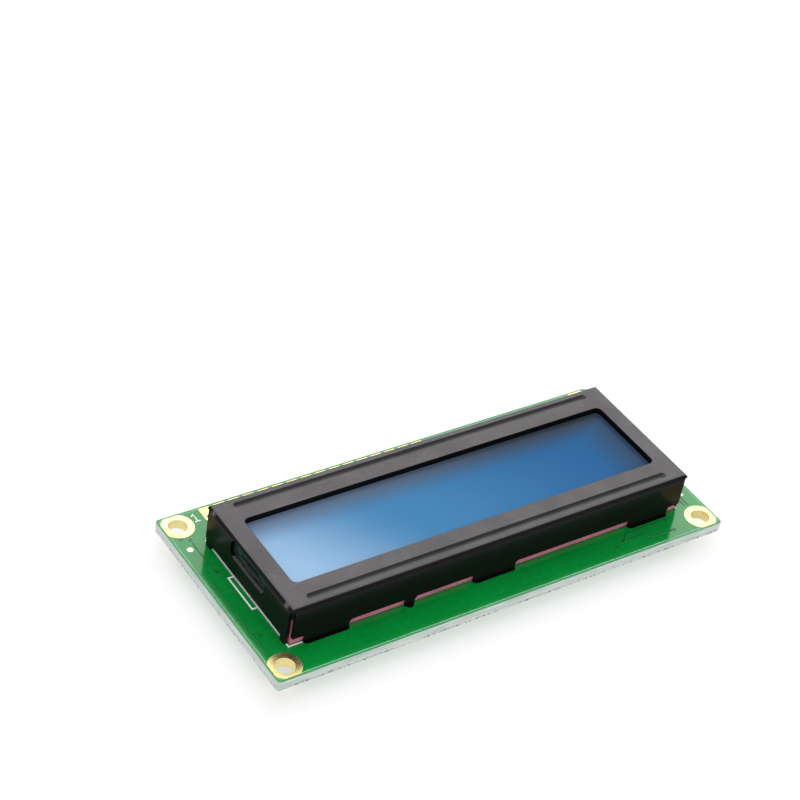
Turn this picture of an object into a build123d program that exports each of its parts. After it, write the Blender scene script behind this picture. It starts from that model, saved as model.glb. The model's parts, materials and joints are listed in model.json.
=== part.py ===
from build123d import *
import os

# Character display module, 16 pins in line, in millimetres.
# +X runs along the board from pin 1 to pin 16, +Y points at the pin edge and +Z out of the display.
# The origin is the middle of the four mounting holes, on the back face of the circuit board.

# Circuit board and its mounting holes
board_length = 80.0
board_width = 36.0
board_thickness = 1.6
board_corner_radius = 0.6
mounting_hole_radius = 1.5
mounting_hole_from_edge = 2.5
mounting_ring_width = 1.0
plating_thickness = 0.05
pad_to_board_edge = 0.3

# Row of header holes
header_pins = 16
header_pitch = 2.54
header_hole_radius = 0.5
header_pad_width = 1.85
header_pad_to_edge = 0.35
header_hole_from_edge = 2.5
header_pad_inner_reach = 1.05
first_pin_from_left = 7.95

# Notch in the right edge, where the lamp board is soldered
notch_length = 4.5
notch_depth = 1.5
notch_offset_y = -0.75
notch_corner_radius = 0.3

# Sheet metal bezel
sheet = 0.5
bezel_to_board_end = 4.4
bezel_width = 24.2
bezel_height = 7.0
bezel_offset_y = -0.675
bend_inner_radius = 0.3
corner_slit = 0.7
window_end_margin = 3.2
window_side_margin = 4.9
window_corner_radius = 0.9
window_edge_round = 0.12
groove_end_margin = 3.4
groove_width = 1.1
groove_floor_width = 0.4
groove_from_side = 1.8
groove_wall = 0.2

# Lower edge of the bezel's walls
long_wall_gap = 1.45
gap_corner_radius = 0.6
short_wall_gap = 1.0
short_wall_foot_width = 1.2
short_wall_foot_inset = 1.5
end_gap_step = 0.4

# Opening in the left wall over the sealed filling port of the display cell
port_opening_length = 9.5
port_opening_height = 2.95
port_opening_sill = 3.65
port_opening_chamfer = 0.6

# Tabs that go through the board, each with one half twisted over its land
tab_to_bezel_end = 6.55
tab_width = 7.3
tab_reach = 2.55
tab_twist_angle = 46.0
tab_twist_radius = 0.75
tab_twist_straight = 2.35
tab_edge_above_land = 0.15
tab_relief = 0.3
tab_tip_inset = 0.7
tab_taper_height = 0.7
tab_tip_radius = 0.6
match_tolerance = 0.001
slot_end_clearance = 0.2
slot_side_clearance = 0.4

# Locating pegs of the bezel
peg_width = 1.25
peg_foot_width = 1.5
peg_from_middle = 15.0
peg_hole_clearance = 0.05
peg_short_of_back = 0.2

# Ground lands under the twisted tabs
land_length = 7.1
land_width = 2.65
land_shift = 0.15
land_to_slot = 0.1

# Display cell and backlight, from the board upwards
housing_floor = 0.6
reflector_thickness = 0.15
guide_thickness = 2.4
diffuser_thickness = 0.2
polariser_thickness = 0.2
glass_thickness = 1.1
cell_gap = 0.05
cell_to_wall = 0.1
contact_ledge = 2.5
seal_width = 1.0
seal_inset = 0.4
polariser_inset = 0.3
rear_polariser_inset = 0.6
port_seal_radius = 0.5
port_seal_length = 6.0
zebra_width = 2.35
zebra_end_clearance = 0.2
zebra_to_housing = 0.1
housing_wall = 1.2
film_clearance = 0.1

# Lamp board with its two side-view lamps
lamp_pocket_length = 1.6
lamp_depth = 1.2
lamp_length = 2.4
lamp_height = 1.0
lamp_gap = 0.3
lamp_board_under_wall = 0.2
lamp_board_overlap = 0.5
lamp_board_from_edge = 0.6
lamp_clearance = 0.1
lamp_window_depth = 0.15
lamp_window_margin = 0.2

# Chip-on-board epoxy drops and the dies inside them
controller_ring_gap = 0.05
controller_y = -0.1
controller_radius = 6.45
driver_from_right = 26.55
driver_y = 0.65
driver_radius = 5.75
drop_height = 0.95
die_length = 3.2
die_width = 2.6
die_thickness = 0.4
drop_ring_margin = 0.5
drop_ring_shift_x = 0.25
drop_ring_shift_y = 0.35

# Profile of a hanging drop: its shoulder in shares of radius and height, and its slope at the rim
drop_shoulder_reach = 0.8
drop_shoulder_depth = 0.62
drop_rim_slope = (-0.6, -0.8)

# Copper, solder and printing stand this far off the board
pad_thickness = 0.05
print_thickness = 0.03
print_line = 0.25
print_clearance = 0.02

# Chip resistors
chip_length = 2.0
chip_width = 1.25
chip_thickness = 0.5
chip_cap_length = 0.4
chip_cap_step = 0.03
chip_pad_length = 1.4
chip_pad_width = 1.4
chip_pad_span = 4.0
chip_solder_height = 0.35
chip_solder_dip_reach = 0.42
chip_solder_dip_height = 0.48
resistor_column_from_left = 9.05
resistor_to_near_land = 1.825
resistor_to_far_land = 2.175
resistor_column = [1, 2, 3, 4, 5, 7]
pair_from_left = 17.55
resistor_r6_y = -4.0
resistor_r8_from_peg = 4.8
resistor_r8_below_pins = 3.1

# Gaps up the column of empty pads, from the near land past C2, C1, the converter and the jumpers to the far
# land; another bezel width stretches or closes them all alike
pad_column_gaps = [1.725, 1.3, 1.18, 0.38, 1.325]

# Empty component pads
c3_y = -6.4
c3_pad_length = 1.5
c3_pad_width = 1.4
c3_pad_pitch = 2.35
tank_pads_from_right = 10.45
tank_pad_length = 1.7
tank_pad_width = 2.1
tank_pad_pitch = 3.4
converter_from_right = 10.9
converter_rows = 4
converter_pitch = 1.28
converter_span = 5.8
converter_pad_length = 2.1
converter_pad_width = 0.75

# Solder jumpers
jumper_count = 3
jumper_pitch = 2.42
jumper_from_right = 10.75
jumper_radius = 1.1
jumper_split = 0.2
jumper_solder_radius = 0.85
jumper_solder_height = 0.4

# Plated holes for the backlight's supply
supply_hole_from_right = 1.6
supply_hole_spread = 8.05
supply_hole_radius = 0.45
supply_pad_size = 2.2
wire_hole_from_right = 4.0
wire_hole_radius = 0.4
wire_pad_radius = 1.0
notch_solder_length = 1.75
notch_solder_gap = 0.3
notch_solder_reach = 0.8
notch_solder_height = 1.2
notch_solder_dip_reach = 0.5
notch_solder_dip_height = 0.55

# Printed outlines
print_frame_outset = 0.05
port_mark_length = 7.15
port_mark_reach = 0.9
port_mark_offset_y = 0.15
fiducial_from_bezel_end = 2.6
fiducial_below_hole = 5.1
fiducial_radius = 0.5
dot_from_bezel_end = 2.45
dot_above_hole = 5.4
dot_radius = 0.35
chip_frame_length = 5.0
single_frame_length = 6.25
single_frame_width = 2.9
tank_frame_length = 6.6
tank_frame_width = 3.0
converter_frame_width = 2.6
converter_frame_length = 5.1
jumper_frame_margin = 0.15

# How a block lies on its place: standing on it, hanging from it, or standing to its right
standing = (Align.CENTER, Align.CENTER, Align.MIN)
hanging = (Align.CENTER, Align.CENTER, Align.MAX)
rightwards = (Align.MIN, Align.CENTER, Align.MIN)

# Values that follow from the ones above
board_top = board_thickness
left_edge = -board_length / 2
right_edge = board_length / 2
pin_edge = board_width / 2
hole_span_x = board_length - 2 * mounting_hole_from_edge
hole_span_y = board_width - 2 * mounting_hole_from_edge
header_y = pin_edge - header_hole_from_edge
header_start = left_edge + first_pin_from_left
header_middle = header_start + header_pitch * (header_pins - 1) / 2
notch_floor = right_edge - notch_depth

bezel_length = board_length - 2 * bezel_to_board_end
window_length = bezel_length - 2 * window_end_margin
window_width = bezel_width - 2 * window_side_margin
groove_length = bezel_length - 2 * groove_end_margin
tab_pitch = bezel_length / 2 - tab_to_bezel_end
bezel_top = board_top + bezel_height
bend_outer_radius = bend_inner_radius + sheet
inner_length = bezel_length - 2 * sheet
inner_width = bezel_width - 2 * sheet
side_y = [bezel_offset_y - bezel_width / 2, bezel_offset_y + bezel_width / 2]
wall_y = [side_y[0] + sheet / 2, side_y[1] - sheet / 2]
tab_places = [-tab_pitch, 0, tab_pitch]
slot_length = tab_width + 2 * slot_end_clearance
slot_width = sheet + 2 * slot_side_clearance
land_offset = slot_width / 2 + land_to_slot + land_width / 2
land_inner_y = [wall_y[0] + land_offset + land_width / 2, wall_y[1] - land_offset - land_width / 2]
between_lands = land_inner_y[1] - land_inner_y[0]
peg_hole_radius = ((peg_width / 2) ** 2 + (sheet / 2) ** 2) ** 0.5 + peg_hole_clearance

backlight_height = housing_floor + reflector_thickness + guide_thickness + diffuser_thickness
housing_top = board_top + backlight_height
rear_glass_bottom = housing_top + polariser_thickness
cell_middle = rear_glass_bottom + glass_thickness
front_glass_bottom = cell_middle + cell_gap
front_glass_top = front_glass_bottom + glass_thickness
cell_top = front_glass_top + polariser_thickness
cell_length = inner_length - 2 * cell_to_wall
front_glass_width = inner_width - 2 * cell_to_wall
rear_glass_width = front_glass_width - 2 * contact_ledge
housing_width = inner_width - 2 * (cell_to_wall + zebra_width + zebra_to_housing)
housing_length = cell_length
housing_right = housing_length / 2
cavity_width = housing_width - 2 * housing_wall
cavity_left = -housing_length / 2 + housing_wall
pocket_right = housing_right - housing_wall / 2
guide_right = pocket_right - lamp_pocket_length
guide_left = cavity_left + film_clearance
guide_length = guide_right - film_clearance - guide_left
guide_middle = (guide_right - film_clearance + guide_left) / 2
film_width = cavity_width - 2 * film_clearance

lamp_board_thickness = short_wall_gap - lamp_board_under_wall
lamp_board_width = notch_length + 2 * lamp_board_overlap
lamp_board_left = guide_right + lamp_clearance
lamp_board_right = right_edge - lamp_board_from_edge
lamp_board_top = board_top + lamp_board_thickness

resistor_column_x = left_edge + resistor_column_from_left
column_room = between_lands - resistor_to_near_land - resistor_to_far_land
resistor_pitch = (column_room - chip_pad_width) / (len(resistor_column) - 1)
resistor_first_y = land_inner_y[0] + resistor_to_near_land + chip_pad_width / 2
resistor_places = {
    f"resistor_r{number}": (resistor_column_x, resistor_first_y + row * resistor_pitch)
    for row, number in enumerate(resistor_column)
}
pair_x = left_edge + pair_from_left
resistor_places["resistor_r6"] = (pair_x, resistor_r6_y)
resistor_r8_x = peg_from_middle + resistor_r8_from_peg
resistor_places["resistor_r8"] = (resistor_r8_x, header_y - resistor_r8_below_pins)
converter_pad_depth = (converter_rows - 1) * converter_pitch + converter_pad_width
pad_depths = [tank_pad_width, tank_pad_width, converter_pad_depth, 2 * jumper_radius]
gap_scale = (between_lands - sum(pad_depths)) / sum(pad_column_gaps)
tank_c2_y, tank_c1_y, converter_y, jumper_y = [
    land_inner_y[0] + gap_scale * sum(pad_column_gaps[: i + 1]) + sum(pad_depths[:i]) + depth / 2
    for i, depth in enumerate(pad_depths)
]
jumper_x = [right_edge - jumper_from_right + (i - 1) * jumper_pitch for i in range(jumper_count)]
supply_x = right_edge - supply_hole_from_right
wire_x = right_edge - wire_hole_from_right
supply_y = [notch_offset_y - supply_hole_spread / 2, notch_offset_y + supply_hole_spread / 2]
wire_y = [notch_offset_y - header_pitch / 2, notch_offset_y + header_pitch / 2]

os.makedirs("parts", exist_ok=True)


def hanging_drop(x, y, seat, radius, height):
    """Return a drop below the level seat, steep at its rim and nearly flat in the middle."""
    with BuildPart() as drop:
        with BuildSketch(Plane.XZ.offset(-y)):
            with BuildLine():
                Line((x, seat - height), (x, seat))
                Line((x, seat), (x + radius, seat))
                Spline(
                    (x + radius, seat),
                    (x + drop_shoulder_reach * radius, seat - drop_shoulder_depth * height),
                    (x, seat - height),
                    tangents=(drop_rim_slope, (-1, 0)),
                )
            make_face()
        revolve(axis=Axis((x, y, 0), (0, 0, 1)))
    return drop


# Circuit board
with BuildPart() as pcb:
    with BuildSketch():
        Rectangle(board_length, board_width)
        fillet(vertices(), board_corner_radius)
        with GridLocations(hole_span_x, hole_span_y, 2, 2):
            Circle(mounting_hole_radius + plating_thickness, mode=Mode.SUBTRACT)
        with Locations((header_middle, header_y)):
            with GridLocations(header_pitch, 1, header_pins, 1):
                Circle(header_hole_radius + plating_thickness, mode=Mode.SUBTRACT)
        for y in wall_y:
            with Locations(*[(x, y) for x in tab_places]):
                SlotOverall(slot_length, slot_width, mode=Mode.SUBTRACT)
        with Locations((-peg_from_middle, wall_y[0]), (peg_from_middle, wall_y[1])):
            Circle(peg_hole_radius, mode=Mode.SUBTRACT)
        with Locations(*[(supply_x, y) for y in supply_y]):
            Circle(supply_hole_radius + plating_thickness, mode=Mode.SUBTRACT)
        with Locations(*[(wire_x, y) for y in wire_y]):
            Circle(wire_hole_radius + plating_thickness, mode=Mode.SUBTRACT)
        with Locations((right_edge, notch_offset_y)):
            RectangleRounded(2 * notch_depth, notch_length, notch_corner_radius, mode=Mode.SUBTRACT)
    extrude(amount=board_thickness)
pcb.part.label = "pcb"
export_step(pcb.part, "parts/pcb.step")

# Gold rings and barrels of the four mounting holes, trimmed short of the board's edges
with BuildPart() as mounting_hole_plating:
    with GridLocations(hole_span_x, hole_span_y, 2, 2):
        Cylinder(mounting_hole_radius + plating_thickness, board_thickness, align=standing)
    for level in [-pad_thickness, board_top]:
        with BuildSketch(Plane.XY.offset(level)):
            with GridLocations(hole_span_x, hole_span_y, 2, 2):
                Circle(mounting_hole_radius + mounting_ring_width)
            Rectangle(
                board_length - 2 * pad_to_board_edge,
                board_width - 2 * pad_to_board_edge,
                mode=Mode.INTERSECT,
            )
        extrude(amount=pad_thickness)
    with GridLocations(hole_span_x, hole_span_y, 2, 2):
        Cylinder(mounting_hole_radius, 3 * board_thickness, mode=Mode.SUBTRACT)
mounting_hole_plating.part.label = "mounting_hole_plating"
export_step(mounting_hole_plating.part, "parts/mounting_hole_plating.step")

# Plated header holes, each pad round at its inner end and square at the board's edge
header_pad_outer = pin_edge - header_pad_to_edge
header_pad_centre = header_y - header_pad_inner_reach + header_pad_width / 2
with BuildPart() as header_plating:
    with Locations((header_middle, header_y)):
        with GridLocations(header_pitch, 1, header_pins, 1):
            Cylinder(header_hole_radius + plating_thickness, board_thickness, align=standing)
    for level in [-pad_thickness, board_top]:
        with BuildSketch(Plane.XY.offset(level)):
            with Locations((header_middle, header_pad_centre)):
                with GridLocations(header_pitch, 1, header_pins, 1):
                    Circle(header_pad_width / 2)
            with Locations((header_middle, (header_pad_centre + header_pad_outer) / 2)):
                with GridLocations(header_pitch, 1, header_pins, 1):
                    Rectangle(header_pad_width, header_pad_outer - header_pad_centre)
        extrude(amount=pad_thickness)
    with Locations((header_middle, header_y)):
        with GridLocations(header_pitch, 1, header_pins, 1):
            Cylinder(header_hole_radius, 3 * board_thickness, mode=Mode.SUBTRACT)
header_plating.part.label = "header_plating"
export_step(header_plating.part, "parts/header_plating.step")

# Six bare ground lands on the back, beside the slots on the side the tabs are twisted to
with BuildPart() as ground_lands:
    with BuildSketch(Plane.XY.offset(-pad_thickness)):
        with Locations(*[(x - land_shift, wall_y[0] + land_offset) for x in tab_places]):
            Rectangle(land_length, land_width)
        with Locations(*[(x - land_shift, wall_y[1] - land_offset) for x in tab_places]):
            Rectangle(land_length, land_width)
    extrude(amount=pad_thickness)
ground_lands.part.label = "ground_lands"
export_step(ground_lands.part, "parts/ground_lands.step")

# Empty pads of the unfitted parts: three capacitors and one eight-legged converter
tank_x = right_edge - tank_pads_from_right
converter_x = right_edge - converter_from_right
with BuildPart() as component_pads:
    with BuildSketch(Plane.XY.offset(-pad_thickness)):
        with Locations((pair_x, c3_y)):
            with GridLocations(c3_pad_pitch, 1, 2, 1):
                Rectangle(c3_pad_length, c3_pad_width)
        with Locations((tank_x, tank_c1_y), (tank_x, tank_c2_y)):
            with GridLocations(tank_pad_pitch, 1, 2, 1):
                Rectangle(tank_pad_length, tank_pad_width)
        with Locations((converter_x, converter_y)):
            with GridLocations(converter_span, converter_pitch, 2, converter_rows):
                SlotOverall(converter_pad_length, converter_pad_width)
    extrude(amount=pad_thickness)
component_pads.part.label = "component_pads"
export_step(component_pads.part, "parts/component_pads.step")

# Three round jumpers, each pad split down the middle
with BuildPart() as jumper_pads:
    with BuildSketch(Plane.XY.offset(-pad_thickness)):
        with Locations(*[(x, jumper_y) for x in jumper_x]):
            Circle(jumper_radius)
            Rectangle(jumper_split, 3 * jumper_radius, mode=Mode.SUBTRACT)
    extrude(amount=pad_thickness)
jumper_pads.part.label = "jumper_pads"
export_step(jumper_pads.part, "parts/jumper_pads.step")

# Solder drop that bridges the last jumper
jumper_solder = hanging_drop(
    jumper_x[-1], jumper_y, -pad_thickness, jumper_solder_radius, jumper_solder_height
)
jumper_solder.part.label = "jumper_solder"
export_step(jumper_solder.part, "parts/jumper_solder.step")

# Plated holes for the backlight's supply: two square pads beside the notch, two round ones inside it
with BuildPart() as backlight_plating:
    with Locations(*[(supply_x, y) for y in supply_y]):
        Cylinder(supply_hole_radius + plating_thickness, board_thickness, align=standing)
    with Locations(*[(wire_x, y) for y in wire_y]):
        Cylinder(wire_hole_radius + plating_thickness, board_thickness, align=standing)
    with BuildSketch(Plane.XY.offset(-pad_thickness)):
        with Locations(*[(supply_x, y) for y in supply_y]):
            Rectangle(supply_pad_size, supply_pad_size)
        with Locations(*[(wire_x, y) for y in wire_y]):
            Circle(wire_pad_radius)
    extrude(amount=pad_thickness)
    with BuildSketch(Plane.XY.offset(board_top)):
        with Locations(*[(supply_x, y) for y in supply_y]):
            Rectangle(supply_pad_size, supply_pad_size)
    extrude(amount=pad_thickness)
    with Locations(*[(supply_x, y) for y in supply_y]):
        Cylinder(supply_hole_radius, 3 * board_thickness, mode=Mode.SUBTRACT)
    with Locations(*[(wire_x, y) for y in wire_y]):
        Cylinder(wire_hole_radius, 3 * board_thickness, mode=Mode.SUBTRACT)
backlight_plating.part.label = "backlight_plating"
export_step(backlight_plating.part, "parts/backlight_plating.step")

# Pads of the eight chip resistors, a gap between the two of each
with BuildPart() as resistor_pads:
    with BuildSketch(Plane.XY.offset(-pad_thickness)):
        with Locations(*resistor_places.values()):
            with GridLocations(chip_pad_span - chip_pad_length, 1, 2, 1):
                Rectangle(chip_pad_length, chip_pad_width)
    extrude(amount=pad_thickness)
resistor_pads.part.label = "resistor_pads"
export_step(resistor_pads.part, "parts/resistor_pads.step")

# Chip resistors: a flat ceramic body between two slightly thicker end caps
chip_seat = -pad_thickness
for name, place in resistor_places.items():
    with BuildPart() as resistor:
        with BuildSketch(Plane.XY.offset(chip_seat)):
            with Locations(place):
                Rectangle(chip_length, chip_width - 2 * chip_cap_step)
        extrude(amount=-(chip_thickness - chip_cap_step))
        with BuildSketch(Plane.XY.offset(chip_seat)):
            with Locations(place):
                with GridLocations(chip_length - chip_cap_length, 1, 2, 1):
                    Rectangle(chip_cap_length, chip_width)
        extrude(amount=-chip_thickness)
    resistor.part.label = name
    export_step(resistor.part, f"parts/{name}.step")

# Solder wedges from each resistor's end caps down to its pads
with BuildPart() as resistor_solder:
    for place in resistor_places.values():
        for side in [-1, 1]:
            cap_x = place[0] + side * chip_length / 2
            pad_end = place[0] + side * chip_pad_span / 2
            with BuildSketch(Plane.XZ.offset(-place[1])):
                with BuildLine():
                    Line((cap_x, chip_seat), (cap_x, chip_seat - chip_solder_height))
                    Line((pad_end, chip_seat), (cap_x, chip_seat))
                    ThreePointArc(
                        (cap_x, chip_seat - chip_solder_height),
                        (
                            cap_x + chip_solder_dip_reach * (pad_end - cap_x),
                            chip_seat - chip_solder_dip_height * chip_solder_height,
                        ),
                        (pad_end, chip_seat),
                    )
                make_face()
            extrude(amount=chip_width / 2, both=True)
resistor_solder.part.label = "resistor_solder"
export_step(resistor_solder.part, "parts/resistor_solder.step")

# Black epoxy drops over the two bare dies
ring_reach = drop_ring_margin + drop_ring_shift_x
controller_x = pair_x + chip_frame_length / 2 + controller_ring_gap + ring_reach + controller_radius
driver_x = right_edge - driver_from_right
drops = {
    "controller": (controller_x, controller_y, controller_radius),
    "driver": (driver_x, driver_y, driver_radius),
}
for name, (x, y, radius) in drops.items():
    with BuildPart() as die:
        with Locations((x, y, 0)):
            Box(die_length, die_width, die_thickness, align=hanging)
    whole_drop = hanging_drop(x, y, 0, radius, drop_height)
    with BuildPart() as drop:
        add(whole_drop.part)
        add(die.part, mode=Mode.SUBTRACT)
    die.part.label = f"{name}_die"
    export_step(die.part, f"parts/{name}_die.step")
    drop.part.label = f"{name}_drop"
    export_step(drop.part, f"parts/{name}_drop.step")

# Outline of one tab at the origin: the near half stays in the wall's plane, the other is twisted
with BuildPart() as tab:
    with BuildSketch(Plane.XZ.offset(-sheet / 2)):
        with BuildLine():
            Polyline(
                (-tab_width / 2, board_top + long_wall_gap),
                (-tab_width / 2, tab_relief),
                (0, tab_relief),
                (0, -tab_reach),
                (tab_width / 2 - tab_tip_inset, -tab_reach),
                (tab_width / 2 - tab_tip_inset, -tab_taper_height),
                (tab_width / 2, 0),
                (tab_width / 2, board_top + long_wall_gap),
                close=True,
            )
        make_face()
    extrude(amount=sheet)
    twist_top = -(pad_thickness + tab_edge_above_land)
    with BuildSketch(Plane.XY.offset(twist_top)):
        with BuildLine():
            bend = JernArc((0, 0), (-1, 0), tab_twist_radius, -tab_twist_angle)
            Line(bend @ 1, bend @ 1 + tab_twist_straight * (bend % 1))
        trace(line_width=sheet)
    extrude(amount=-(tab_reach + twist_top))
    tips = tab.edges().filter_by(GeomType.LINE).group_by(Axis.Z)[0]
    tips = tips.filter_by(lambda edge: abs(edge.length - sheet) < match_tolerance)
    fillet(tips.filter_by(lambda edge: abs(edge.center().X) > tab_width / 4), tab_tip_radius)

# Bezel: one folded sheet with its window, pressed grooves, wall openings, tabs and pegs
groove_depth = bezel_top - sheet - cell_top
groove_y = bezel_width / 2 - groove_from_side
with BuildPart() as bezel:
    with BuildSketch(Plane.XY.offset(board_top)):
        with Locations((0, bezel_offset_y)):
            Rectangle(bezel_length, bezel_width)
    extrude(amount=bezel_height)
    fillet(bezel.faces().sort_by(Axis.Z)[-1].edges(), bend_outer_radius)
    offset(amount=-sheet, openings=bezel.faces().sort_by(Axis.Z)[0])
    # Turned-down rim of the window, which bears on the display
    with BuildSketch(Plane.XY.offset(bezel_top - sheet)):
        with Locations((0, bezel_offset_y)):
            RectangleRounded(
                window_length + 2 * sheet,
                window_width + 2 * sheet,
                window_corner_radius + sheet,
            )
    extrude(amount=-groove_depth)
    with BuildSketch(Plane.XY.offset(bezel_top)):
        with Locations((0, bezel_offset_y)):
            RectangleRounded(window_length, window_width, window_corner_radius)
    extrude(amount=-(sheet + groove_depth), mode=Mode.SUBTRACT)
    fillet(bezel.faces().sort_by(Axis.Z)[-1].inner_wires().edges(), window_edge_round)
    # Two pressed grooves, which stand proud below the sheet and bear on the display
    for y in [bezel_offset_y - groove_y, bezel_offset_y + groove_y]:
        ridge_growth = 2 * groove_wall
        for lift, growth, mode in [(sheet, ridge_growth, Mode.ADD), (0, 0, Mode.SUBTRACT)]:
            with BuildSketch(Plane.XY.offset(bezel_top - lift)):
                with Locations((0, y)):
                    SlotOverall(groove_length + growth, groove_width + growth)
            with BuildSketch(Plane.XY.offset(bezel_top - lift - groove_depth)):
                with Locations((0, y)):
                    SlotOverall(
                        groove_length - groove_width + groove_floor_width + growth,
                        groove_floor_width + growth,
                    )
            loft(mode=mode)
    # Slits between the walls at the four corners, closed above by the flat of the sheet
    with Locations((0, bezel_offset_y, board_top)):
        with GridLocations(bezel_length - corner_slit, bezel_width - corner_slit, 2, 2):
            Box(
                corner_slit,
                corner_slit,
                bezel_height - sheet,
                align=standing,
                mode=Mode.SUBTRACT,
            )
    # The sheet's corners above the slits are rounded
    with BuildSketch(Plane.XY.offset(bezel_top)):
        with Locations((0, bezel_offset_y)):
            Rectangle(bezel_length, bezel_width)
            RectangleRounded(bezel_length, bezel_width, corner_slit, mode=Mode.SUBTRACT)
    extrude(amount=-sheet, mode=Mode.SUBTRACT)
    # Long walls are cut back from the board between the tabs and the pegs
    for side, y in zip([-1, 1], wall_y):
        feet = sorted([(x, tab_width) for x in tab_places] + [(side * peg_from_middle, peg_foot_width)])
        starts = [-bezel_length / 2] + [x + width / 2 for x, width in feet]
        ends = [x - width / 2 for x, width in feet] + [bezel_length / 2]
        with BuildSketch(Plane.XZ.offset(-y)):
            for start, end in zip(starts, ends):
                with Locations(((start + end) / 2, board_top)):
                    Rectangle(end - start, 2 * long_wall_gap)
            fillet(vertices().group_by(Axis.Y)[-1], gap_corner_radius)
        extrude(amount=sheet, both=True, mode=Mode.SUBTRACT)
    # Short walls stand on two small feet each
    foot_y = bezel_width / 2 - short_wall_foot_inset
    clear_length = 2 * foot_y - short_wall_foot_width
    end_length = short_wall_foot_inset - short_wall_foot_width / 2
    for side in [-1, 1]:
        with BuildSketch(Plane.YZ.offset(side * (bezel_length - sheet) / 2)):
            with Locations((bezel_offset_y, board_top)):
                Rectangle(clear_length, 2 * short_wall_gap)
                with GridLocations(bezel_width - end_length, 1, 2, 1):
                    Rectangle(end_length, 2 * (short_wall_gap + end_gap_step))
        extrude(amount=sheet, both=True, mode=Mode.SUBTRACT)
    # Opening in the left wall over the cell's filling port
    with BuildSketch(Plane.YZ.offset((sheet - bezel_length) / 2)):
        with Locations((bezel_offset_y, board_top + port_opening_sill + port_opening_height / 2)):
            Rectangle(port_opening_length, port_opening_height)
        chamfer(vertices(), port_opening_chamfer)
    extrude(amount=sheet, both=True, mode=Mode.SUBTRACT)
    # Locating pegs and twisted tabs, the far row turned half a turn from the near one
    with Locations((-peg_from_middle, wall_y[0], board_top), (peg_from_middle, wall_y[1], board_top)):
        Box(
            peg_width,
            sheet,
            board_thickness - peg_short_of_back,
            align=hanging,
        )
    for x in tab_places:
        with Locations(Location((x, wall_y[0], 0)), Location((x, wall_y[1], 0), (0, 0, 180))):
            add(tab.part)
bezel.part.label = "bezel"
export_step(bezel.part, "parts/bezel.step")

# White backlight housing: a floor and rim round the films, with a pocket for the lamps at the right
pocket_width = lamp_board_width + 2 * lamp_clearance
with BuildPart() as backlight_housing:
    with Locations((0, bezel_offset_y, board_top)):
        Box(housing_length, housing_width, backlight_height, align=standing)
    with Locations((cavity_left, bezel_offset_y, board_top + housing_floor)):
        Box(
            guide_right - cavity_left,
            cavity_width,
            backlight_height - housing_floor,
            align=rightwards,
            mode=Mode.SUBTRACT,
        )
    with Locations((guide_right, notch_offset_y, board_top)):
        Box(
            pocket_right - guide_right,
            pocket_width,
            backlight_height,
            align=rightwards,
            mode=Mode.SUBTRACT,
        )
        Box(
            housing_right - guide_right,
            pocket_width,
            lamp_board_thickness + lamp_clearance,
            align=rightwards,
            mode=Mode.SUBTRACT,
        )
backlight_housing.part.label = "backlight_housing"
export_step(backlight_housing.part, "parts/backlight_housing.step")

# Flat layers stacked on the housing's floor and on its rim, bottom to top
cavity_floor = board_top + housing_floor
diffuser_bottom = housing_top - diffuser_thickness
layers = {
    "reflector_film": (guide_middle, guide_length, film_width, cavity_floor, reflector_thickness),
    "light_guide": (
        guide_middle,
        guide_length,
        film_width,
        cavity_floor + reflector_thickness,
        guide_thickness,
    ),
    "diffuser_film": (guide_middle, guide_length, film_width, diffuser_bottom, diffuser_thickness),
    "rear_polariser": (
        0,
        cell_length - 2 * rear_polariser_inset,
        rear_glass_width - 2 * rear_polariser_inset,
        housing_top,
        polariser_thickness,
    ),
    "rear_glass": (0, cell_length, rear_glass_width, rear_glass_bottom, glass_thickness),
    "front_glass": (0, cell_length, front_glass_width, front_glass_bottom, glass_thickness),
    "front_polariser": (
        0,
        cell_length - 2 * polariser_inset,
        front_glass_width - 2 * polariser_inset,
        front_glass_top,
        polariser_thickness,
    ),
}
for name, (middle, length, width, bottom, thickness) in layers.items():
    with BuildPart() as layer:
        with Locations((middle, bezel_offset_y, bottom)):
            Box(length, width, thickness, align=standing)
    layer.part.label = name
    export_step(layer.part, f"parts/{name}.step")

# Glue frame that joins the two glasses
with BuildPart() as cell_seal:
    with BuildSketch(Plane.XY.offset(cell_middle)):
        with Locations((0, bezel_offset_y)):
            Rectangle(cell_length - 2 * seal_inset, rear_glass_width - 2 * seal_inset)
            Rectangle(
                cell_length - 2 * (seal_inset + seal_width),
                rear_glass_width - 2 * (seal_inset + seal_width),
                mode=Mode.SUBTRACT,
            )
    extrude(amount=cell_gap)
cell_seal.part.label = "cell_seal"
export_step(cell_seal.part, "parts/cell_seal.step")

# Drop of glue over the cell's filling port, on the left end of both glasses
port_z = cell_middle + cell_gap / 2
with BuildPart() as port_seal:
    with BuildSketch(Plane.XY.offset(port_z)):
        with Locations((-cell_length / 2, bezel_offset_y)):
            Ellipse(port_seal_radius, port_seal_length / 2)
            Rectangle(
                port_seal_radius,
                port_seal_length,
                align=(Align.MIN, Align.CENTER),
                mode=Mode.SUBTRACT,
            )
    revolve(axis=Axis((-cell_length / 2, bezel_offset_y, port_z), (0, 1, 0)))
    split(bisect_by=Plane.YZ.offset(-cell_length / 2), keep=Keep.TOP)
port_seal.part.label = "port_seal"
export_step(port_seal.part, "parts/port_seal.step")

# Two conductive rubber strips between the board and the front glass
zebra_y = inner_width / 2 - cell_to_wall - zebra_width / 2
for name, side in [("zebra_strip_near", -1), ("zebra_strip_far", 1)]:
    with BuildPart() as zebra_strip:
        with Locations((0, bezel_offset_y + side * zebra_y, board_top)):
            Box(
                cell_length - 2 * zebra_end_clearance,
                zebra_width,
                front_glass_bottom - board_top,
                align=standing,
            )
    zebra_strip.part.label = name
    export_step(zebra_strip.part, f"parts/{name}.step")

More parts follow.
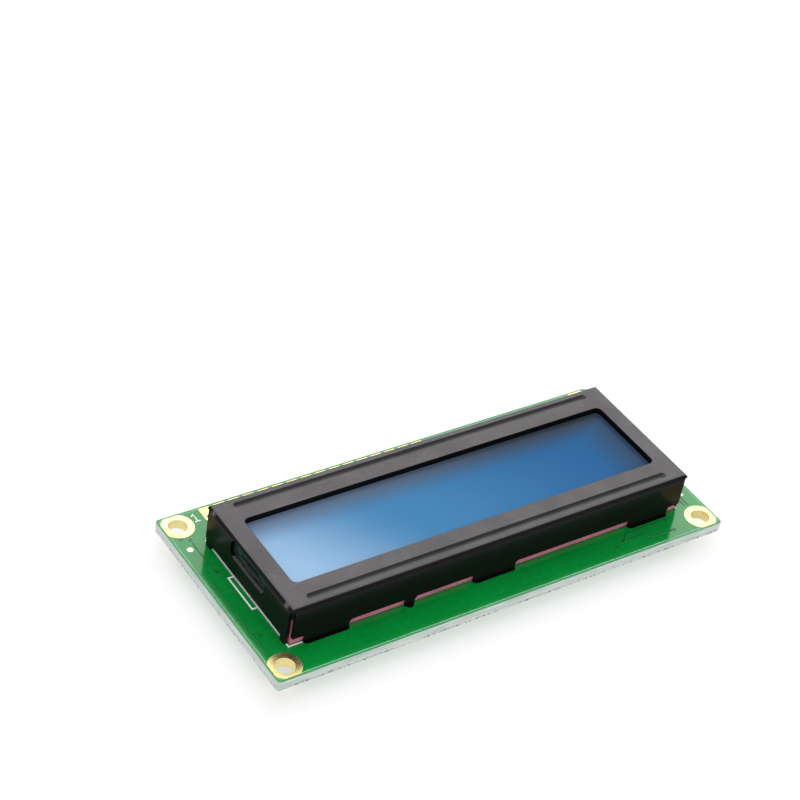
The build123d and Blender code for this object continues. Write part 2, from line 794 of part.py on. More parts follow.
# Lamp board: lies on the circuit board, passes under the right wall and ends over the notch
with BuildPart() as lamp_board:
    with Locations((lamp_board_left, notch_offset_y, board_top)):
        Box(
            lamp_board_right - lamp_board_left,
            lamp_board_width,
            lamp_board_thickness,
            align=rightwards,
        )
lamp_board.part.label = "lamp_board"
export_step(lamp_board.part, "parts/lamp_board.step")

# Two side-view lamps that face the light guide, each with a shallow window
lamp_x = (guide_right + pocket_right) / 2
with BuildPart() as lamps:
    with Locations((lamp_x, notch_offset_y, lamp_board_top)):
        with GridLocations(1, lamp_length + lamp_gap, 1, 2):
            Box(lamp_depth, lamp_length, lamp_height, align=standing)
    with Locations((lamp_x - lamp_depth / 2, notch_offset_y, lamp_board_top + lamp_height / 2)):
        with GridLocations(1, lamp_length + lamp_gap, 1, 2):
            Box(
                lamp_window_depth,
                lamp_length - 2 * lamp_window_margin,
                lamp_height - 2 * lamp_window_margin,
                align=(Align.MIN, Align.CENTER, Align.CENTER),
                mode=Mode.SUBTRACT,
            )
lamps.part.label = "lamps"
export_step(lamps.part, "parts/lamps.step")

# Two solder joints in the notch, from its floor to the underside of the lamp board
with BuildPart() as notch_solder:
    with BuildSketch(Plane.XZ.offset(-notch_offset_y)):
        with BuildLine():
            Line((notch_floor, board_top), (notch_floor, board_top - notch_solder_height))
            ThreePointArc(
                (notch_floor, board_top - notch_solder_height),
                (
                    notch_floor + notch_solder_dip_reach * notch_solder_reach,
                    board_top - notch_solder_dip_height * notch_solder_height,
                ),
                (notch_floor + notch_solder_reach, board_top),
            )
            Line((notch_floor + notch_solder_reach, board_top), (notch_floor, board_top))
        make_face()
    extrude(amount=notch_solder_length + notch_solder_gap / 2, both=True)
    with Locations((notch_floor, notch_offset_y, board_top)):
        Box(2 * notch_solder_reach, notch_solder_gap, 2 * notch_solder_height, mode=Mode.SUBTRACT)
notch_solder.part.label = "notch_solder"
export_step(notch_solder.part, "parts/notch_solder.step")

# White print on the front: an open frame under the bezel's walls, a mark by the port and two dots
frame_length = housing_length + 2 * (print_frame_outset + print_line)
frame_near = wall_y[0] - print_line / 2
frame_far = wall_y[1] + print_line / 2
with BuildPart() as front_print:
    with BuildSketch(Plane.XY.offset(board_top)):
        with Locations((0, (frame_near + frame_far) / 2)):
            Rectangle(frame_length, frame_far - frame_near)
            Rectangle(
                frame_length - 2 * print_line,
                frame_far - frame_near - 2 * print_line,
                mode=Mode.SUBTRACT,
            )
        # The near side of the frame ends at the first tab
        with Locations((tab_places[0], frame_near)):
            Rectangle(frame_length, print_line, align=(Align.MIN, Align.MIN), mode=Mode.SUBTRACT)
        with Locations((-frame_length / 2, bezel_offset_y + port_mark_offset_y)):
            Rectangle(port_mark_reach, port_mark_length, align=(Align.MAX, Align.CENTER))
            Rectangle(
                port_mark_reach - print_line,
                port_mark_length - 2 * print_line,
                align=(Align.MAX, Align.CENTER),
                mode=Mode.SUBTRACT,
            )
        fiducial_x = -bezel_length / 2 - fiducial_from_bezel_end
        with Locations((fiducial_x, hole_span_y / 2 - fiducial_below_hole)):
            Circle(fiducial_radius)
        dot_x = bezel_length / 2 + dot_from_bezel_end
        with Locations((dot_x, dot_above_hole - hole_span_y / 2)):
            Circle(dot_radius)
        for y in wall_y:
            with Locations(*[(x, y) for x in tab_places]):
                Rectangle(
                    slot_length + 2 * print_clearance,
                    slot_width + 2 * print_clearance,
                    mode=Mode.SUBTRACT,
                )
        with Locations((-peg_from_middle, wall_y[0]), (peg_from_middle, wall_y[1])):
            Rectangle(
                peg_foot_width + 2 * print_clearance,
                2 * peg_hole_radius + 2 * print_clearance,
                mode=Mode.SUBTRACT,
            )
        with Locations((0, bezel_offset_y)):
            with GridLocations(bezel_length - sheet, 2 * foot_y, 2, 2):
                Rectangle(
                    sheet + 2 * print_clearance,
                    short_wall_foot_width + 2 * print_clearance,
                    mode=Mode.SUBTRACT,
                )
        with Locations((lamp_board_left, notch_offset_y)):
            Rectangle(
                lamp_board_right - lamp_board_left,
                lamp_board_width + 2 * print_clearance,
                align=(Align.MIN, Align.CENTER),
                mode=Mode.SUBTRACT,
            )
    extrude(amount=print_thickness)
front_print.part.label = "front_print"
export_step(front_print.part, "parts/front_print.step")

# White print on the back: frames round the parts and a ring round each epoxy drop
rows = len(resistor_column)
column_y = resistor_first_y + (rows - 1) * resistor_pitch / 2
pair_y = (c3_y + resistor_r6_y) / 2
pair_pitch = resistor_r6_y - c3_y
single_frames = [
    (resistor_places["resistor_r8"], single_frame_length, single_frame_width),
    ((tank_x, tank_c1_y), tank_frame_length, tank_frame_width),
    ((tank_x, tank_c2_y), tank_frame_length, tank_frame_width),
    ((converter_x, converter_y), converter_frame_width, converter_frame_length),
]
with BuildPart() as back_print:
    with BuildSketch(Plane.XY.offset(-print_thickness)):
        for x, y, radius in drops.values():
            with Locations((x - drop_ring_shift_x, y - drop_ring_shift_y)):
                Circle(radius + drop_ring_margin)
        for x, y, radius in drops.values():
            with Locations((x, y)):
                Circle(radius + print_clearance, mode=Mode.SUBTRACT)
        for x, y, pitch, count in [
            (resistor_column_x, column_y, resistor_pitch, rows),
            (pair_x, pair_y, pair_pitch, 2),
        ]:
            with Locations((x, y)):
                Rectangle(chip_frame_length, count * pitch + print_line)
                with GridLocations(1, pitch, 1, count):
                    Rectangle(chip_frame_length - 2 * print_line, pitch - print_line, mode=Mode.SUBTRACT)
        for place, length, width in single_frames:
            with Locations(place):
                Rectangle(length, width)
                Rectangle(length - 2 * print_line, width - 2 * print_line, mode=Mode.SUBTRACT)
        with Locations(*[(x, jumper_y) for x in jumper_x]):
            Circle(jumper_radius + jumper_frame_margin + print_line)
        with Locations(*[(x, jumper_y) for x in jumper_x]):
            Circle(jumper_radius + jumper_frame_margin, mode=Mode.SUBTRACT)
        # The print keeps clear of every land that it would run over
        with Locations(*resistor_places.values()):
            with GridLocations(chip_pad_span - chip_pad_length, 1, 2, 1):
                Rectangle(
                    chip_pad_length + 2 * print_clearance,
                    chip_pad_width + 2 * print_clearance,
                    mode=Mode.SUBTRACT,
                )
        for y in [wall_y[0] + land_offset, wall_y[1] - land_offset]:
            with Locations(*[(x - land_shift, y) for x in tab_places]):
                Rectangle(
                    land_length + 2 * print_clearance,
                    land_width + 2 * print_clearance,
                    mode=Mode.SUBTRACT,
                )
        with Locations((converter_x, converter_y)):
            with GridLocations(converter_span, converter_pitch, 2, converter_rows):
                SlotOverall(
                    converter_pad_length + 2 * print_clearance,
                    converter_pad_width + 2 * print_clearance,
                    mode=Mode.SUBTRACT,
                )
    extrude(amount=print_thickness)
back_print.part.label = "back_print"
export_step(back_print.part, "parts/back_print.step")
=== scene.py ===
import json
import math

import bpy
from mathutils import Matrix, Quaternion, Vector

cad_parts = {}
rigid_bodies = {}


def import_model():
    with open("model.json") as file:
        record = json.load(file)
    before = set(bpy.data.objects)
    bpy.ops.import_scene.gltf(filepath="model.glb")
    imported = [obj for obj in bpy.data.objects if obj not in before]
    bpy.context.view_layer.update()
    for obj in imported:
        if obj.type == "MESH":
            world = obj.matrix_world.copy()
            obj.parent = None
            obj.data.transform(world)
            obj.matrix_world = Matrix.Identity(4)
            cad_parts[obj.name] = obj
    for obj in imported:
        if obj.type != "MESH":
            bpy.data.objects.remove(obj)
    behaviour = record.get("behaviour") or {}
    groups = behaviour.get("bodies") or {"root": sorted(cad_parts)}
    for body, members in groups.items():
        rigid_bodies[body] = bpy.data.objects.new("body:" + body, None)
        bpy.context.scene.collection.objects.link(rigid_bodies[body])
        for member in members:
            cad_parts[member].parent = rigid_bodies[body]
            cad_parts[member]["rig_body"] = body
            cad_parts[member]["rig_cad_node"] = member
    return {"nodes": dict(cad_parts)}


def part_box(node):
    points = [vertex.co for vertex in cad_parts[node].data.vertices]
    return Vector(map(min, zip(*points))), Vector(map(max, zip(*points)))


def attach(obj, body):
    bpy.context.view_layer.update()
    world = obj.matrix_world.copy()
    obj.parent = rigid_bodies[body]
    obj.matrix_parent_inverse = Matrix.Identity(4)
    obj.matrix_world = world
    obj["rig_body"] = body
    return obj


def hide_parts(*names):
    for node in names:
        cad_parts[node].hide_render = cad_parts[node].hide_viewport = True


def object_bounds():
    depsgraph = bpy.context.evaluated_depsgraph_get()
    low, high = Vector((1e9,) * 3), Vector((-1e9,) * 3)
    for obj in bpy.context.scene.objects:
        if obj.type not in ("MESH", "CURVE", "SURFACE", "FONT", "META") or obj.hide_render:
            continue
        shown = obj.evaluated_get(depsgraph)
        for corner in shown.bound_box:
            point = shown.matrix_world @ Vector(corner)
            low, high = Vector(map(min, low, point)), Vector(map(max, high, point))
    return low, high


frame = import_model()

bl_info = {
    "name": "Character Display Module",
    "version": (1, 0, 0),
    "blender": (4, 5, 0),
    "location": "3D View > Sidebar > Display Module",
    "description": "Dresses the packed display module: board, tracks, bezel, display, backlight and stage",
    "category": "Object",
}

NODES = frame["nodes"]
CAD_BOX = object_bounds()
MM = 0.001
WHOLE_PIECE = "root"
WHITE = (1.0, 1.0, 1.0, 1.0)

# The photograph's camera, fitted to the board's holes: sensor and lens in millimetres, place in metres
CAMERA_SENSOR = 36.0
CAMERA_LENS = 95.77
CAMERA_PLACE = (-0.16147, -0.18139, 0.21181)
CAMERA_TURN = (0.869615, 0.398831, -0.183745, -0.225701)

# Places that the printing, the tracks and the vias share, in millimetres in the part's frame
BOARD_LOW, BOARD_HIGH = (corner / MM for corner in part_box("pcb"))
BEZEL_LOW, BEZEL_HIGH = (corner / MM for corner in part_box("bezel"))
GROOVE_FROM_MIDDLE = 10.3
GROOVE_HALF_WIDTH = 0.56
GROOVE_FLOOR_Z = 7.95
SLOTS_WITHIN_X = 36.2
SLOTS_WITHIN_Y = 14.2
MOUNTING_RINGS_PAST_X = 34.5
MOUNTING_RINGS_PAST_Y = 12.2
WINDOW_HALF_LENGTH = 32.4
WINDOW_HALF_WIDTH = 7.2
CLEAR_OF_BEZEL = 0.6
RESISTOR_PLACES = {
    f"resistor_r{number}": tuple((low + high) / 2 / MM for low, high in zip(*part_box(f"resistor_r{number}")))
    for number in range(1, 9)
}

# Numbers on the back, read with the pin edge at the top: text, centre x, centre y, height
BACK_NUMBERS = [
    ("1", -26.9, -6.6, 1.5),
    ("2", -26.9, -4.2, 1.5),
    ("3", -26.9, -1.75, 1.5),
    ("4", -26.9, 0.35, 1.5),
    ("5", -26.9, 2.7, 1.5),
    ("7", -26.9, 5.2, 1.5),
    ("6", -21.3, -1.7, 1.4),
    ("3", -21.2, -8.7, 1.4),
    ("8", 24.7, 13.5, 1.5),
    ("1", -8.3, -7.0, 1.6),
    ("2", 16.9, -5.8, 1.6),
    ("3", 23.4, -0.2, 1.5),
    ("1", 34.0, -2.7, 1.4),
    ("2", 34.0, -6.5, 1.4),
    ("+", 24.7, -2.9, 1.9),
    ("+", 24.7, -6.45, 1.9),
    ("1", 34.1, 5.7, 1.3),
    ("2", 29.9, 7.35, 1.1),
    ("3", 24.4, 5.5, 1.4),
    ("+", 38.35, 5.9, 1.7),
    ("-", 38.3, -7.3, 1.9),
]
# Pin numbers on the back, read with the pin edge at the bottom
BACK_PIN_NUMBERS = [
    ("1", -34.15, 16.1, 1.8),
    ("1", 7.75, 16.5, 1.8),
    ("6", 9.05, 16.5, 1.8),
]
FRONT_NUMBERS = [
    ("1", -34.2, 16.2, 1.6),
    ("1", 7.8, 16.2, 1.5),
    ("6", 8.95, 16.2, 1.5),
    ("+", 38.3, 5.6, 1.7),
    ("-", 38.3, -7.1, 1.9),
]

# Bundles of parallel tracks on the back: centre line, count, pitch
BACK_BUNDLES = [
    ([(-34.9, 5.0), (-34.9, -6.2), (-36.2, -7.5), (-36.2, -11.3), (-33.3, -14.2), (22.7, -14.2),
      (24.3, -12.6), (24.3, -4.4)], 3, 0.52),
    ([(-33.75, 12.9), (-33.75, 9.0), (-35.9, 6.8), (-35.9, 2.3)], 2, 0.5),
    ([(-9.0, 13.4), (-13.8, 8.6), (-21.0, 8.6), (-23.4, 6.2), (-23.4, 2.0)], 9, 0.4),
    ([(-3.4, 13.2), (-4.6, 12.0), (-7.4, 12.0), (-11.6, 7.8)], 4, 0.4),
    ([(-9.5, 4.3), (-5.1, 4.3), (2.6, -3.4), (8.6, -3.4)], 17, 0.34),
    ([(-7.6, 7.0), (-1.2, 7.0), (0.2, 5.6), (3.0, 5.6)], 3, 0.4),
    ([(8.0, 3.2), (4.6, 3.2), (2.4, 1.0)], 5, 0.4),
    ([(-22.6, -9.6), (-17.9, -9.6), (-15.4, -7.1)], 4, 0.4),
    ([(-14.2, -6.6), (-14.2, -8.2), (-12.0, -10.4), (-4.6, -10.4)], 3, 0.4),
    ([(8.2, -7.9), (18.4, -7.9), (20.9, -10.4), (20.9, -12.0)], 3, 0.42),
    ([(12.6, -5.0), (12.6, -6.2), (11.3, -7.5), (6.0, -7.5)], 4, 0.4),
    ([(18.6, -2.0), (21.4, -4.8), (21.4, -9.4), (23.0, -11.0), (23.0, -12.2)], 4, 0.42),
    ([(18.8, 3.0), (22.1, 3.0), (22.6, 2.5), (22.6, -3.6)], 4, 0.42),
    ([(15.0, 6.3), (16.6, 7.9), (21.4, 7.9), (22.4, 6.9), (22.4, 4.6)], 3, 0.42),
    ([(24.0, 13.35), (33.8, 13.35), (36.9, 10.25), (36.9, 5.9)], 3, 0.5),
    ([(3.0, 13.5), (16.0, 13.5)], 2, 0.5),
    ([(8.0, 14.7), (12.4, 14.7), (13.6, 15.9), (14.7, 15.9)], 1, 0.5),
    ([(34.6, 9.2), (34.6, 2.0), (33.6, 1.0)], 2, 0.5),
    ([(34.0, -13.4), (36.4, -11.0), (36.4, -3.6)], 2, 0.5),
    ([(-38.4, 12.4), (-38.4, -12.4)], 1, 0.5),
]
# Short tracks that end in one row of vias beside the near contact strip: first x, count, pitch, upper y
COMBS = [(-24.0, 6, 1.28, -10.4), (-10.1, 4, 1.28, -8.6), (5.3, 7, 1.27, -10.2), (20.4, 3, 1.27, -10.3)]
COMB_END_Y = -12.35
BACK_OUTLINES = [
    [(12.0, -10.1), (18.3, -10.1), (19.8, -11.6), (19.8, -13.1), (14.2, -13.1), (14.2, -12.2), (12.0, -10.1)],
    [(14.4, 8.3), (19.6, 8.3), (20.4, 7.5), (20.4, 0.6)],
]
# Line round both faces, just inside the board's edge and its notch, coloured pale as a painted highlight
EDGE_HIGHLIGHT = [
    (39.58, 1.95), (39.58, 17.2), (39.2, 17.58), (-39.2, 17.58), (-39.58, 17.2), (-39.58, -17.2),
    (-39.2, -17.58), (39.2, -17.58), (39.58, -17.2), (39.58, -3.45), (38.05, -3.45), (38.05, 1.95),
    (39.58, 1.95),
]
FRONT_BUNDLES = [
    ([(31.6, -16.1), (27.5, -16.1), (26.4, -15.0), (21.4, -15.0)], 1, 0.5),
    ([(31.6, -13.7), (24.0, -13.7), (22.6, -15.1)], 1, 0.5),
    ([(-37.2, 11.6), (-37.2, 4.6), (-36.4, 3.8)], 1, 0.5),
    ([(-38.6, 3.2), (-38.6, -12.2)], 1, 0.5),
    ([(-30.6, 12.6), (34.0, 12.6)], 1, 0.5),
    ([(37.0, 12.2), (37.0, 7.4)], 2, 0.6),
    ([(37.2, -8.8), (37.2, -12.4)], 2, 0.6),
]
VIAS = [
    (-34.7, 10.0), (-35.9, 1.6), (-36.9, 4.9), (-34.3, -8.0), (-34.1, -9.2), (-37.6, -8.9), (-24.2, -9.6),
    (-21.0, 6.2), (-20.3, 5.5), (-19.55, 6.2), (-18.85, 5.5), (-24.0, 1.0), (-23.3, 0.3), (-22.5, 1.0),
    (-21.8, 0.3), (-21.1, 1.1), (-20.2, 1.0), (-8.6, 10.9), (-7.6, 10.9), (-4.8, 8.2), (-5.6, -3.9),
    (-4.7, -4.9), (3.9, 4.4), (5.3, 4.4), (4.6, 3.6), (3.2, 3.5), (6.1, 3.5), (0.6, 3.4), (2.0, 4.2),
    (1.5, -4.9), (3.0, -5.0), (2.2, -5.7), (4.4, -5.6), (5.6, -5.1), (6.9, -5.6), (11.7, 15.9), (14.8, 15.9),
    (36.9, 5.2), (37.5, -10.4), (17.0, -12.4), (23.4, 8.9), (31.8, -16.1), (31.8, -13.7), (24.3, -4.0),
    (-38.4, 13.0), (33.2, 0.7), (-16.2, 13.2), (2.6, 13.4), (21.0, -15.6), (-37.2, 12.2), (-6.0, 13.9),
]


# Small helpers
def deselect_all():
    """Leave nothing selected, so that the next operator acts only on what it should."""
    if bpy.context.mode != "OBJECT":
        bpy.ops.object.mode_set(mode="OBJECT")
    bpy.ops.object.select_all(action="DESELECT")


def select_only(*pieces):
    """Select these objects and make the first of them active."""
    deselect_all()
    for piece in pieces:
        piece.select_set(True)
    bpy.context.view_layer.objects.active = pieces[0]


def apply_place(piece):
    """Put the object's place, turn and size into its mesh."""
    select_only(piece)
    bpy.ops.object.transform_apply(location=True, rotation=True, scale=True)


def join_as(name, pieces):
    """Join the pieces into one object of this name."""
    select_only(*pieces)
    if len(pieces) > 1:
        bpy.ops.object.join()
    joined = bpy.context.view_layer.objects.active
    joined.name = name
    joined.data.name = name
    return joined


def apply_modifier(piece, kind, **values):
    """Add a modifier with these values and apply it."""
    select_only(piece)
    bpy.ops.object.modifier_add(type=kind)
    modifier = piece.modifiers[-1]
    for key, value in values.items():
        setattr(modifier, key, value)
    bpy.ops.object.modifier_apply(modifier=modifier.name)


def place_copy(pattern, spot):
    """Set a copy of a pattern, with a mesh of its own, at a spot."""
    copy = pattern.copy()
    copy.data = pattern.data.copy()
    bpy.context.scene.collection.objects.link(copy)
    copy.location = spot
    return copy


def select_faces(piece, wanted):
    """In edit mode, select only the faces for which wanted(face) holds."""
    select_only(piece)
    bpy.ops.object.mode_set(mode="EDIT")
    bpy.ops.mesh.select_mode(type="FACE")
    bpy.ops.mesh.select_all(action="DESELECT")
    bpy.ops.object.mode_set(mode="OBJECT")
    for face in piece.data.polygons:
        face.select = wanted(face)
    bpy.ops.object.mode_set(mode="EDIT")


def dress(piece, slot, *finishes):
    """Give the piece its materials and let it ride on the whole part. The slot is not used."""
    if len(piece.data.materials) != len(finishes):
        piece.data.materials.clear()
        for finish in finishes:
            piece.data.materials.append(finish)
    for index, finish in enumerate(finishes):
        piece.data.materials[index] = finish
    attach(piece, WHOLE_PIECE)
    return piece


def prepare(piece, *names):
    """Give a pattern its material slots, so that its faces keep their numbers when it is joined."""
    for name in names:
        piece.data.materials.append(material(name))


def dress_node(name, finish):
    """Give a carried-over node a better material."""
    node = NODES[name]
    if not node.material_slots:
        node.data.materials.append(finish)
    for place in node.material_slots:
        place.material = finish


def smooth_copy(node, name, slot, finish, angle=40.0):
    """Replace a node by a copy with merged points, smooth curves and crisp flats."""
    select_only(NODES[node])
    bpy.ops.object.duplicate()
    piece = bpy.context.view_layer.objects.active
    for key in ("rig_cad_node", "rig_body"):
        if key in piece:
            del piece[key]
    piece.parent = None
    piece.name = name
    piece.data.name = name
    select_only(piece)
    bpy.ops.mesh.customdata_custom_splitnormals_clear()
    bpy.ops.object.mode_set(mode="EDIT")
    bpy.ops.mesh.select_all(action="SELECT")
    bpy.ops.mesh.remove_doubles(threshold=0.000001)
    bpy.ops.object.mode_set(mode="OBJECT")
    bpy.ops.object.shade_smooth_by_angle(angle=math.radians(angle))
    apply_modifier(piece, "WEIGHTED_NORMAL", keep_sharp=True, weight=90)
    dress(piece, slot, finish)
    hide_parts(node)
    return piece


# Node groups and materials
def shader_group(name, inputs, outputs):
    """Start a shader node group with named sockets."""
    group = bpy.data.node_groups.new(name, "ShaderNodeTree")
    for label, kind, value in inputs:
        socket = group.interface.new_socket(name=label, in_out="INPUT", socket_type=kind)
        if value is not None:
            socket.default_value = value
    for label, kind in outputs:
        group.interface.new_socket(name=label, in_out="OUTPUT", socket_type=kind)
    start = group.nodes.new("NodeGroupInput")
    end = group.nodes.new("NodeGroupOutput")
    return group, start, end


def add_node(tree, kind, values=None, **settings):
    """Add a node, set its properties and the defaults of its inputs."""
    node = tree.nodes.new(kind)
    for key, value in settings.items():
        setattr(node, key, value)
    for key, value in (values or {}).items():
        node.inputs[key].default_value = value
    return node


def add_math(tree, operation, first, second=0.5, clamp=False):
    """Add a math node fed by sockets or plain numbers and return its result."""
    node = tree.nodes.new("ShaderNodeMath")
    node.operation = operation
    node.use_clamp = clamp
    for index, value in enumerate((first, second)):
        if isinstance(value, bpy.types.NodeSocket):
            tree.links.new(value, node.inputs[index])
        else:
            node.inputs[index].default_value = value
    return node.outputs[0]


def add_absolute(tree, value):
    """Return a value without its sign."""
    return add_math(tree, "ABSOLUTE", value)


def add_range(tree, value, low, high, to_low=0.0, to_high=1.0, smooth=True):
    """Map a value from one range to another, clamped."""
    node = tree.nodes.new("ShaderNodeMapRange")
    node.interpolation_type = "SMOOTHSTEP" if smooth else "LINEAR"
    node.clamp = True
    tree.links.new(value, node.inputs["Value"])
    node.inputs["From Min"].default_value = low
    node.inputs["From Max"].default_value = high
    node.inputs["To Min"].default_value = to_low
    node.inputs["To Max"].default_value = to_high
    return node.outputs["Result"]


def add_mix(tree, factor, first, second, blend="MIX"):
    """Mix two colours, each a socket or a plain colour."""
    node = tree.nodes.new("ShaderNodeMix")
    node.data_type = "RGBA"
    node.blend_type = blend
    for key, value in ((0, factor), (6, first), (7, second)):
        if isinstance(value, bpy.types.NodeSocket):
            tree.links.new(value, node.inputs[key])
        else:
            node.inputs[key].default_value = value if key == 0 else (*value[:3], 1.0)
    return node.outputs[2]


def add_shader_mix(tree, factor, first, second):
    """Mix two shaders by a number or a socket and return the result."""
    node = tree.nodes.new("ShaderNodeMixShader")
    if isinstance(factor, bpy.types.NodeSocket):
        tree.links.new(factor, node.inputs[0])
    else:
        node.inputs[0].default_value = factor
    tree.links.new(first, node.inputs[1])
    tree.links.new(second, node.inputs[2])
    return node.outputs[0]


def add_mix_value(tree, factor, first, second):
    """Mix two numbers, each a socket or a plain number."""
    node = tree.nodes.new("ShaderNodeMix")
    for key, value in ((0, factor), (2, first), (3, second)):
        if isinstance(value, bpy.types.NodeSocket):
            tree.links.new(value, node.inputs[key])
        else:
            node.inputs[key].default_value = value
    return node.outputs[0]


def make_mottle_group():
    """Colour that drifts between two tones at a coarse and a fine scale."""
    group, start, end = shader_group(
        "two_tone_mottle",
        [
            ("Vector", "NodeSocketVector", None),
            ("Tone A", "NodeSocketColor", (0.5, 0.5, 0.5, 1.0)),
            ("Tone B", "NodeSocketColor", (0.4, 0.4, 0.4, 1.0)),
            ("Coarse Scale", "NodeSocketFloat", 120.0),
            ("Fine Scale", "NodeSocketFloat", 1500.0),
        ],
        [("Color", "NodeSocketColor"), ("Mask", "NodeSocketFloat")],
    )
    coarse = add_node(group, "ShaderNodeTexNoise", {"Detail": 3.0, "Roughness": 0.55})
    fine = add_node(group, "ShaderNodeTexNoise", {"Detail": 4.0, "Roughness": 0.6})
    group.links.new(start.outputs["Vector"], coarse.inputs["Vector"])
    group.links.new(start.outputs["Vector"], fine.inputs["Vector"])
    group.links.new(start.outputs["Coarse Scale"], coarse.inputs["Scale"])
    group.links.new(start.outputs["Fine Scale"], fine.inputs["Scale"])
    blend = add_math(group, "ADD", add_math(group, "MULTIPLY", coarse.outputs["Fac"], 0.6),
                     add_math(group, "MULTIPLY", fine.outputs["Fac"], 0.4))
    mask = add_range(group, blend, 0.35, 0.65)
    group.links.new(mask, end.inputs["Mask"])
    mixed = add_mix(group, mask, (0, 0, 0), (1, 1, 1))
    mix_node = mixed.node
    group.links.new(start.outputs["Tone A"], mix_node.inputs[6])
    group.links.new(start.outputs["Tone B"], mix_node.inputs[7])
    group.links.new(mixed, end.inputs["Color"])
    return group


def make_rub_group():
    """Fine rub marks and specks, strongest along one direction, as a mask and a height."""
    group, start, end = shader_group(
        "rub_marks",
        [
            ("Vector", "NodeSocketVector", None),
            ("Scale", "NodeSocketFloat", 900.0),
            ("Amount", "NodeSocketFloat", 0.5),
        ],
        [("Mask", "NodeSocketFloat"), ("Height", "NodeSocketFloat")],
    )
    stretch = add_node(group, "ShaderNodeMapping", {"Scale": (0.12, 1.0, 1.0), "Rotation": (0.0, 0.0, 0.35)})
    streaks = add_node(group, "ShaderNodeTexNoise", {"Detail": 5.0, "Roughness": 0.7})
    specks = add_node(group, "ShaderNodeTexNoise", {"Detail": 2.0})
    group.links.new(start.outputs["Vector"], stretch.inputs["Vector"])
    group.links.new(stretch.outputs["Vector"], streaks.inputs["Vector"])
    group.links.new(start.outputs["Scale"], streaks.inputs["Scale"])
    group.links.new(start.outputs["Vector"], specks.inputs["Vector"])
    group.links.new(add_math(group, "MULTIPLY", start.outputs["Scale"], 1.7), specks.inputs["Scale"])
    streak_mask = add_range(group, streaks.outputs["Fac"], 0.56, 0.72)
    speck_mask = add_range(group, specks.outputs["Fac"], 0.66, 0.74)
    both = add_math(group, "MAXIMUM", streak_mask, speck_mask)
    group.links.new(add_math(group, "MULTIPLY", both, start.outputs["Amount"]), end.inputs["Mask"])
    group.links.new(add_math(group, "SUBTRACT", streaks.outputs["Fac"], both), end.inputs["Height"])
    return group


def make_grain_group():
    """Fine even grain for the height of a bump."""
    group, start, end = shader_group(
        "fine_grain",
        [("Vector", "NodeSocketVector", None), ("Scale", "NodeSocketFloat", 4000.0)],
        [("Height", "NodeSocketFloat")],
    )
    broad = add_node(group, "ShaderNodeTexNoise", {"Detail": 4.0, "Roughness": 0.6})
    cells = add_node(group, "ShaderNodeTexVoronoi", {"Randomness": 1.0})
    for texture in (broad, cells):
        group.links.new(start.outputs["Vector"], texture.inputs["Vector"])
    group.links.new(start.outputs["Scale"], broad.inputs["Scale"])
    group.links.new(add_math(group, "MULTIPLY", start.outputs["Scale"], 1.6), cells.inputs["Scale"])
    part = add_math(group, "MULTIPLY", cells.outputs["Distance"], 0.4)
    summed = add_math(group, "ADD", broad.outputs["Fac"], part)
    group.links.new(summed, end.inputs["Height"])
    return group


class Finish:
    """One material: its tree, its Principled shader and the coordinates it reads."""

    groups = {}

    def __init__(self, name, roughness=0.5, metallic=0.0, specular=0.5, **shader_values):
        self.material = bpy.data.materials.new(name)
        self.material.use_nodes = True
        self.tree = self.material.node_tree
        self.shader = self.tree.nodes["Principled BSDF"]
        self.shader.inputs["Roughness"].default_value = roughness
        self.shader.inputs["Metallic"].default_value = metallic
        self.shader.inputs["Specular IOR Level"].default_value = specular
        for key, value in shader_values.items():
            self.shader.inputs[key.replace("_", " ")].default_value = value
        self.coordinates = self.tree.nodes.new("ShaderNodeTexCoord")
        self.place = self.coordinates.outputs["Object"]
        if not Finish.groups:
            Finish.groups.update(mottle=make_mottle_group(), rub=make_rub_group(), grain=make_grain_group())

    def effect(self, kind, place=None, **values):
        """Place one of the shared node groups with its own values."""
        node = self.tree.nodes.new("ShaderNodeGroup")
        node.node_tree = Finish.groups[kind]
        self.tree.links.new(place or self.place, node.inputs["Vector"])
        for key, value in values.items():
            node.inputs[key.replace("_", " ")].default_value = value
        return node

    def mottle(self, tone_a, tone_b, coarse=120.0, fine=1500.0, place=None):
        """Two-tone drift; returns the effect's node."""
        return self.effect("mottle", place, Tone_A=(*tone_a, 1.0), Tone_B=(*tone_b, 1.0), Coarse_Scale=coarse,
                           Fine_Scale=fine)

    def axes(self, kind):
        """Split the place ("Object") or the facing ("Normal") into its three axes."""
        node = self.tree.nodes.new("ShaderNodeSeparateXYZ")
        self.tree.links.new(self.coordinates.outputs[kind], node.inputs["Vector"])
        return node.outputs

    def noise(self, place=None, **values):
        """A noise texture's value at a place."""
        node = add_node(self.tree, "ShaderNodeTexNoise", values)
        self.tree.links.new(place or self.place, node.inputs["Vector"])
        return node.outputs["Fac"]

    def grained(self, scale, strength, distance=0.00001):
        """Roughen the surface with the fine grain."""
        self.bump(self.effect("grain", Scale=scale).outputs["Height"], strength, distance)

    def feed(self, socket, name):
        """Feed one of the shader's inputs."""
        self.tree.links.new(socket, self.shader.inputs[name])

    def rough(self, mask, low, high):
        """Let the roughness follow a mask."""
        self.feed(add_range(self.tree, mask, 0.0, 1.0, low, high, smooth=False), "Roughness")

    def bump(self, height, strength, distance):
        """Feed the shader's normal from a height."""
        node = add_node(self.tree, "ShaderNodeBump", {"Strength": strength, "Distance": distance})
        self.tree.links.new(height, node.inputs["Height"])
        self.tree.links.new(node.outputs["Normal"], self.shader.inputs["Normal"])


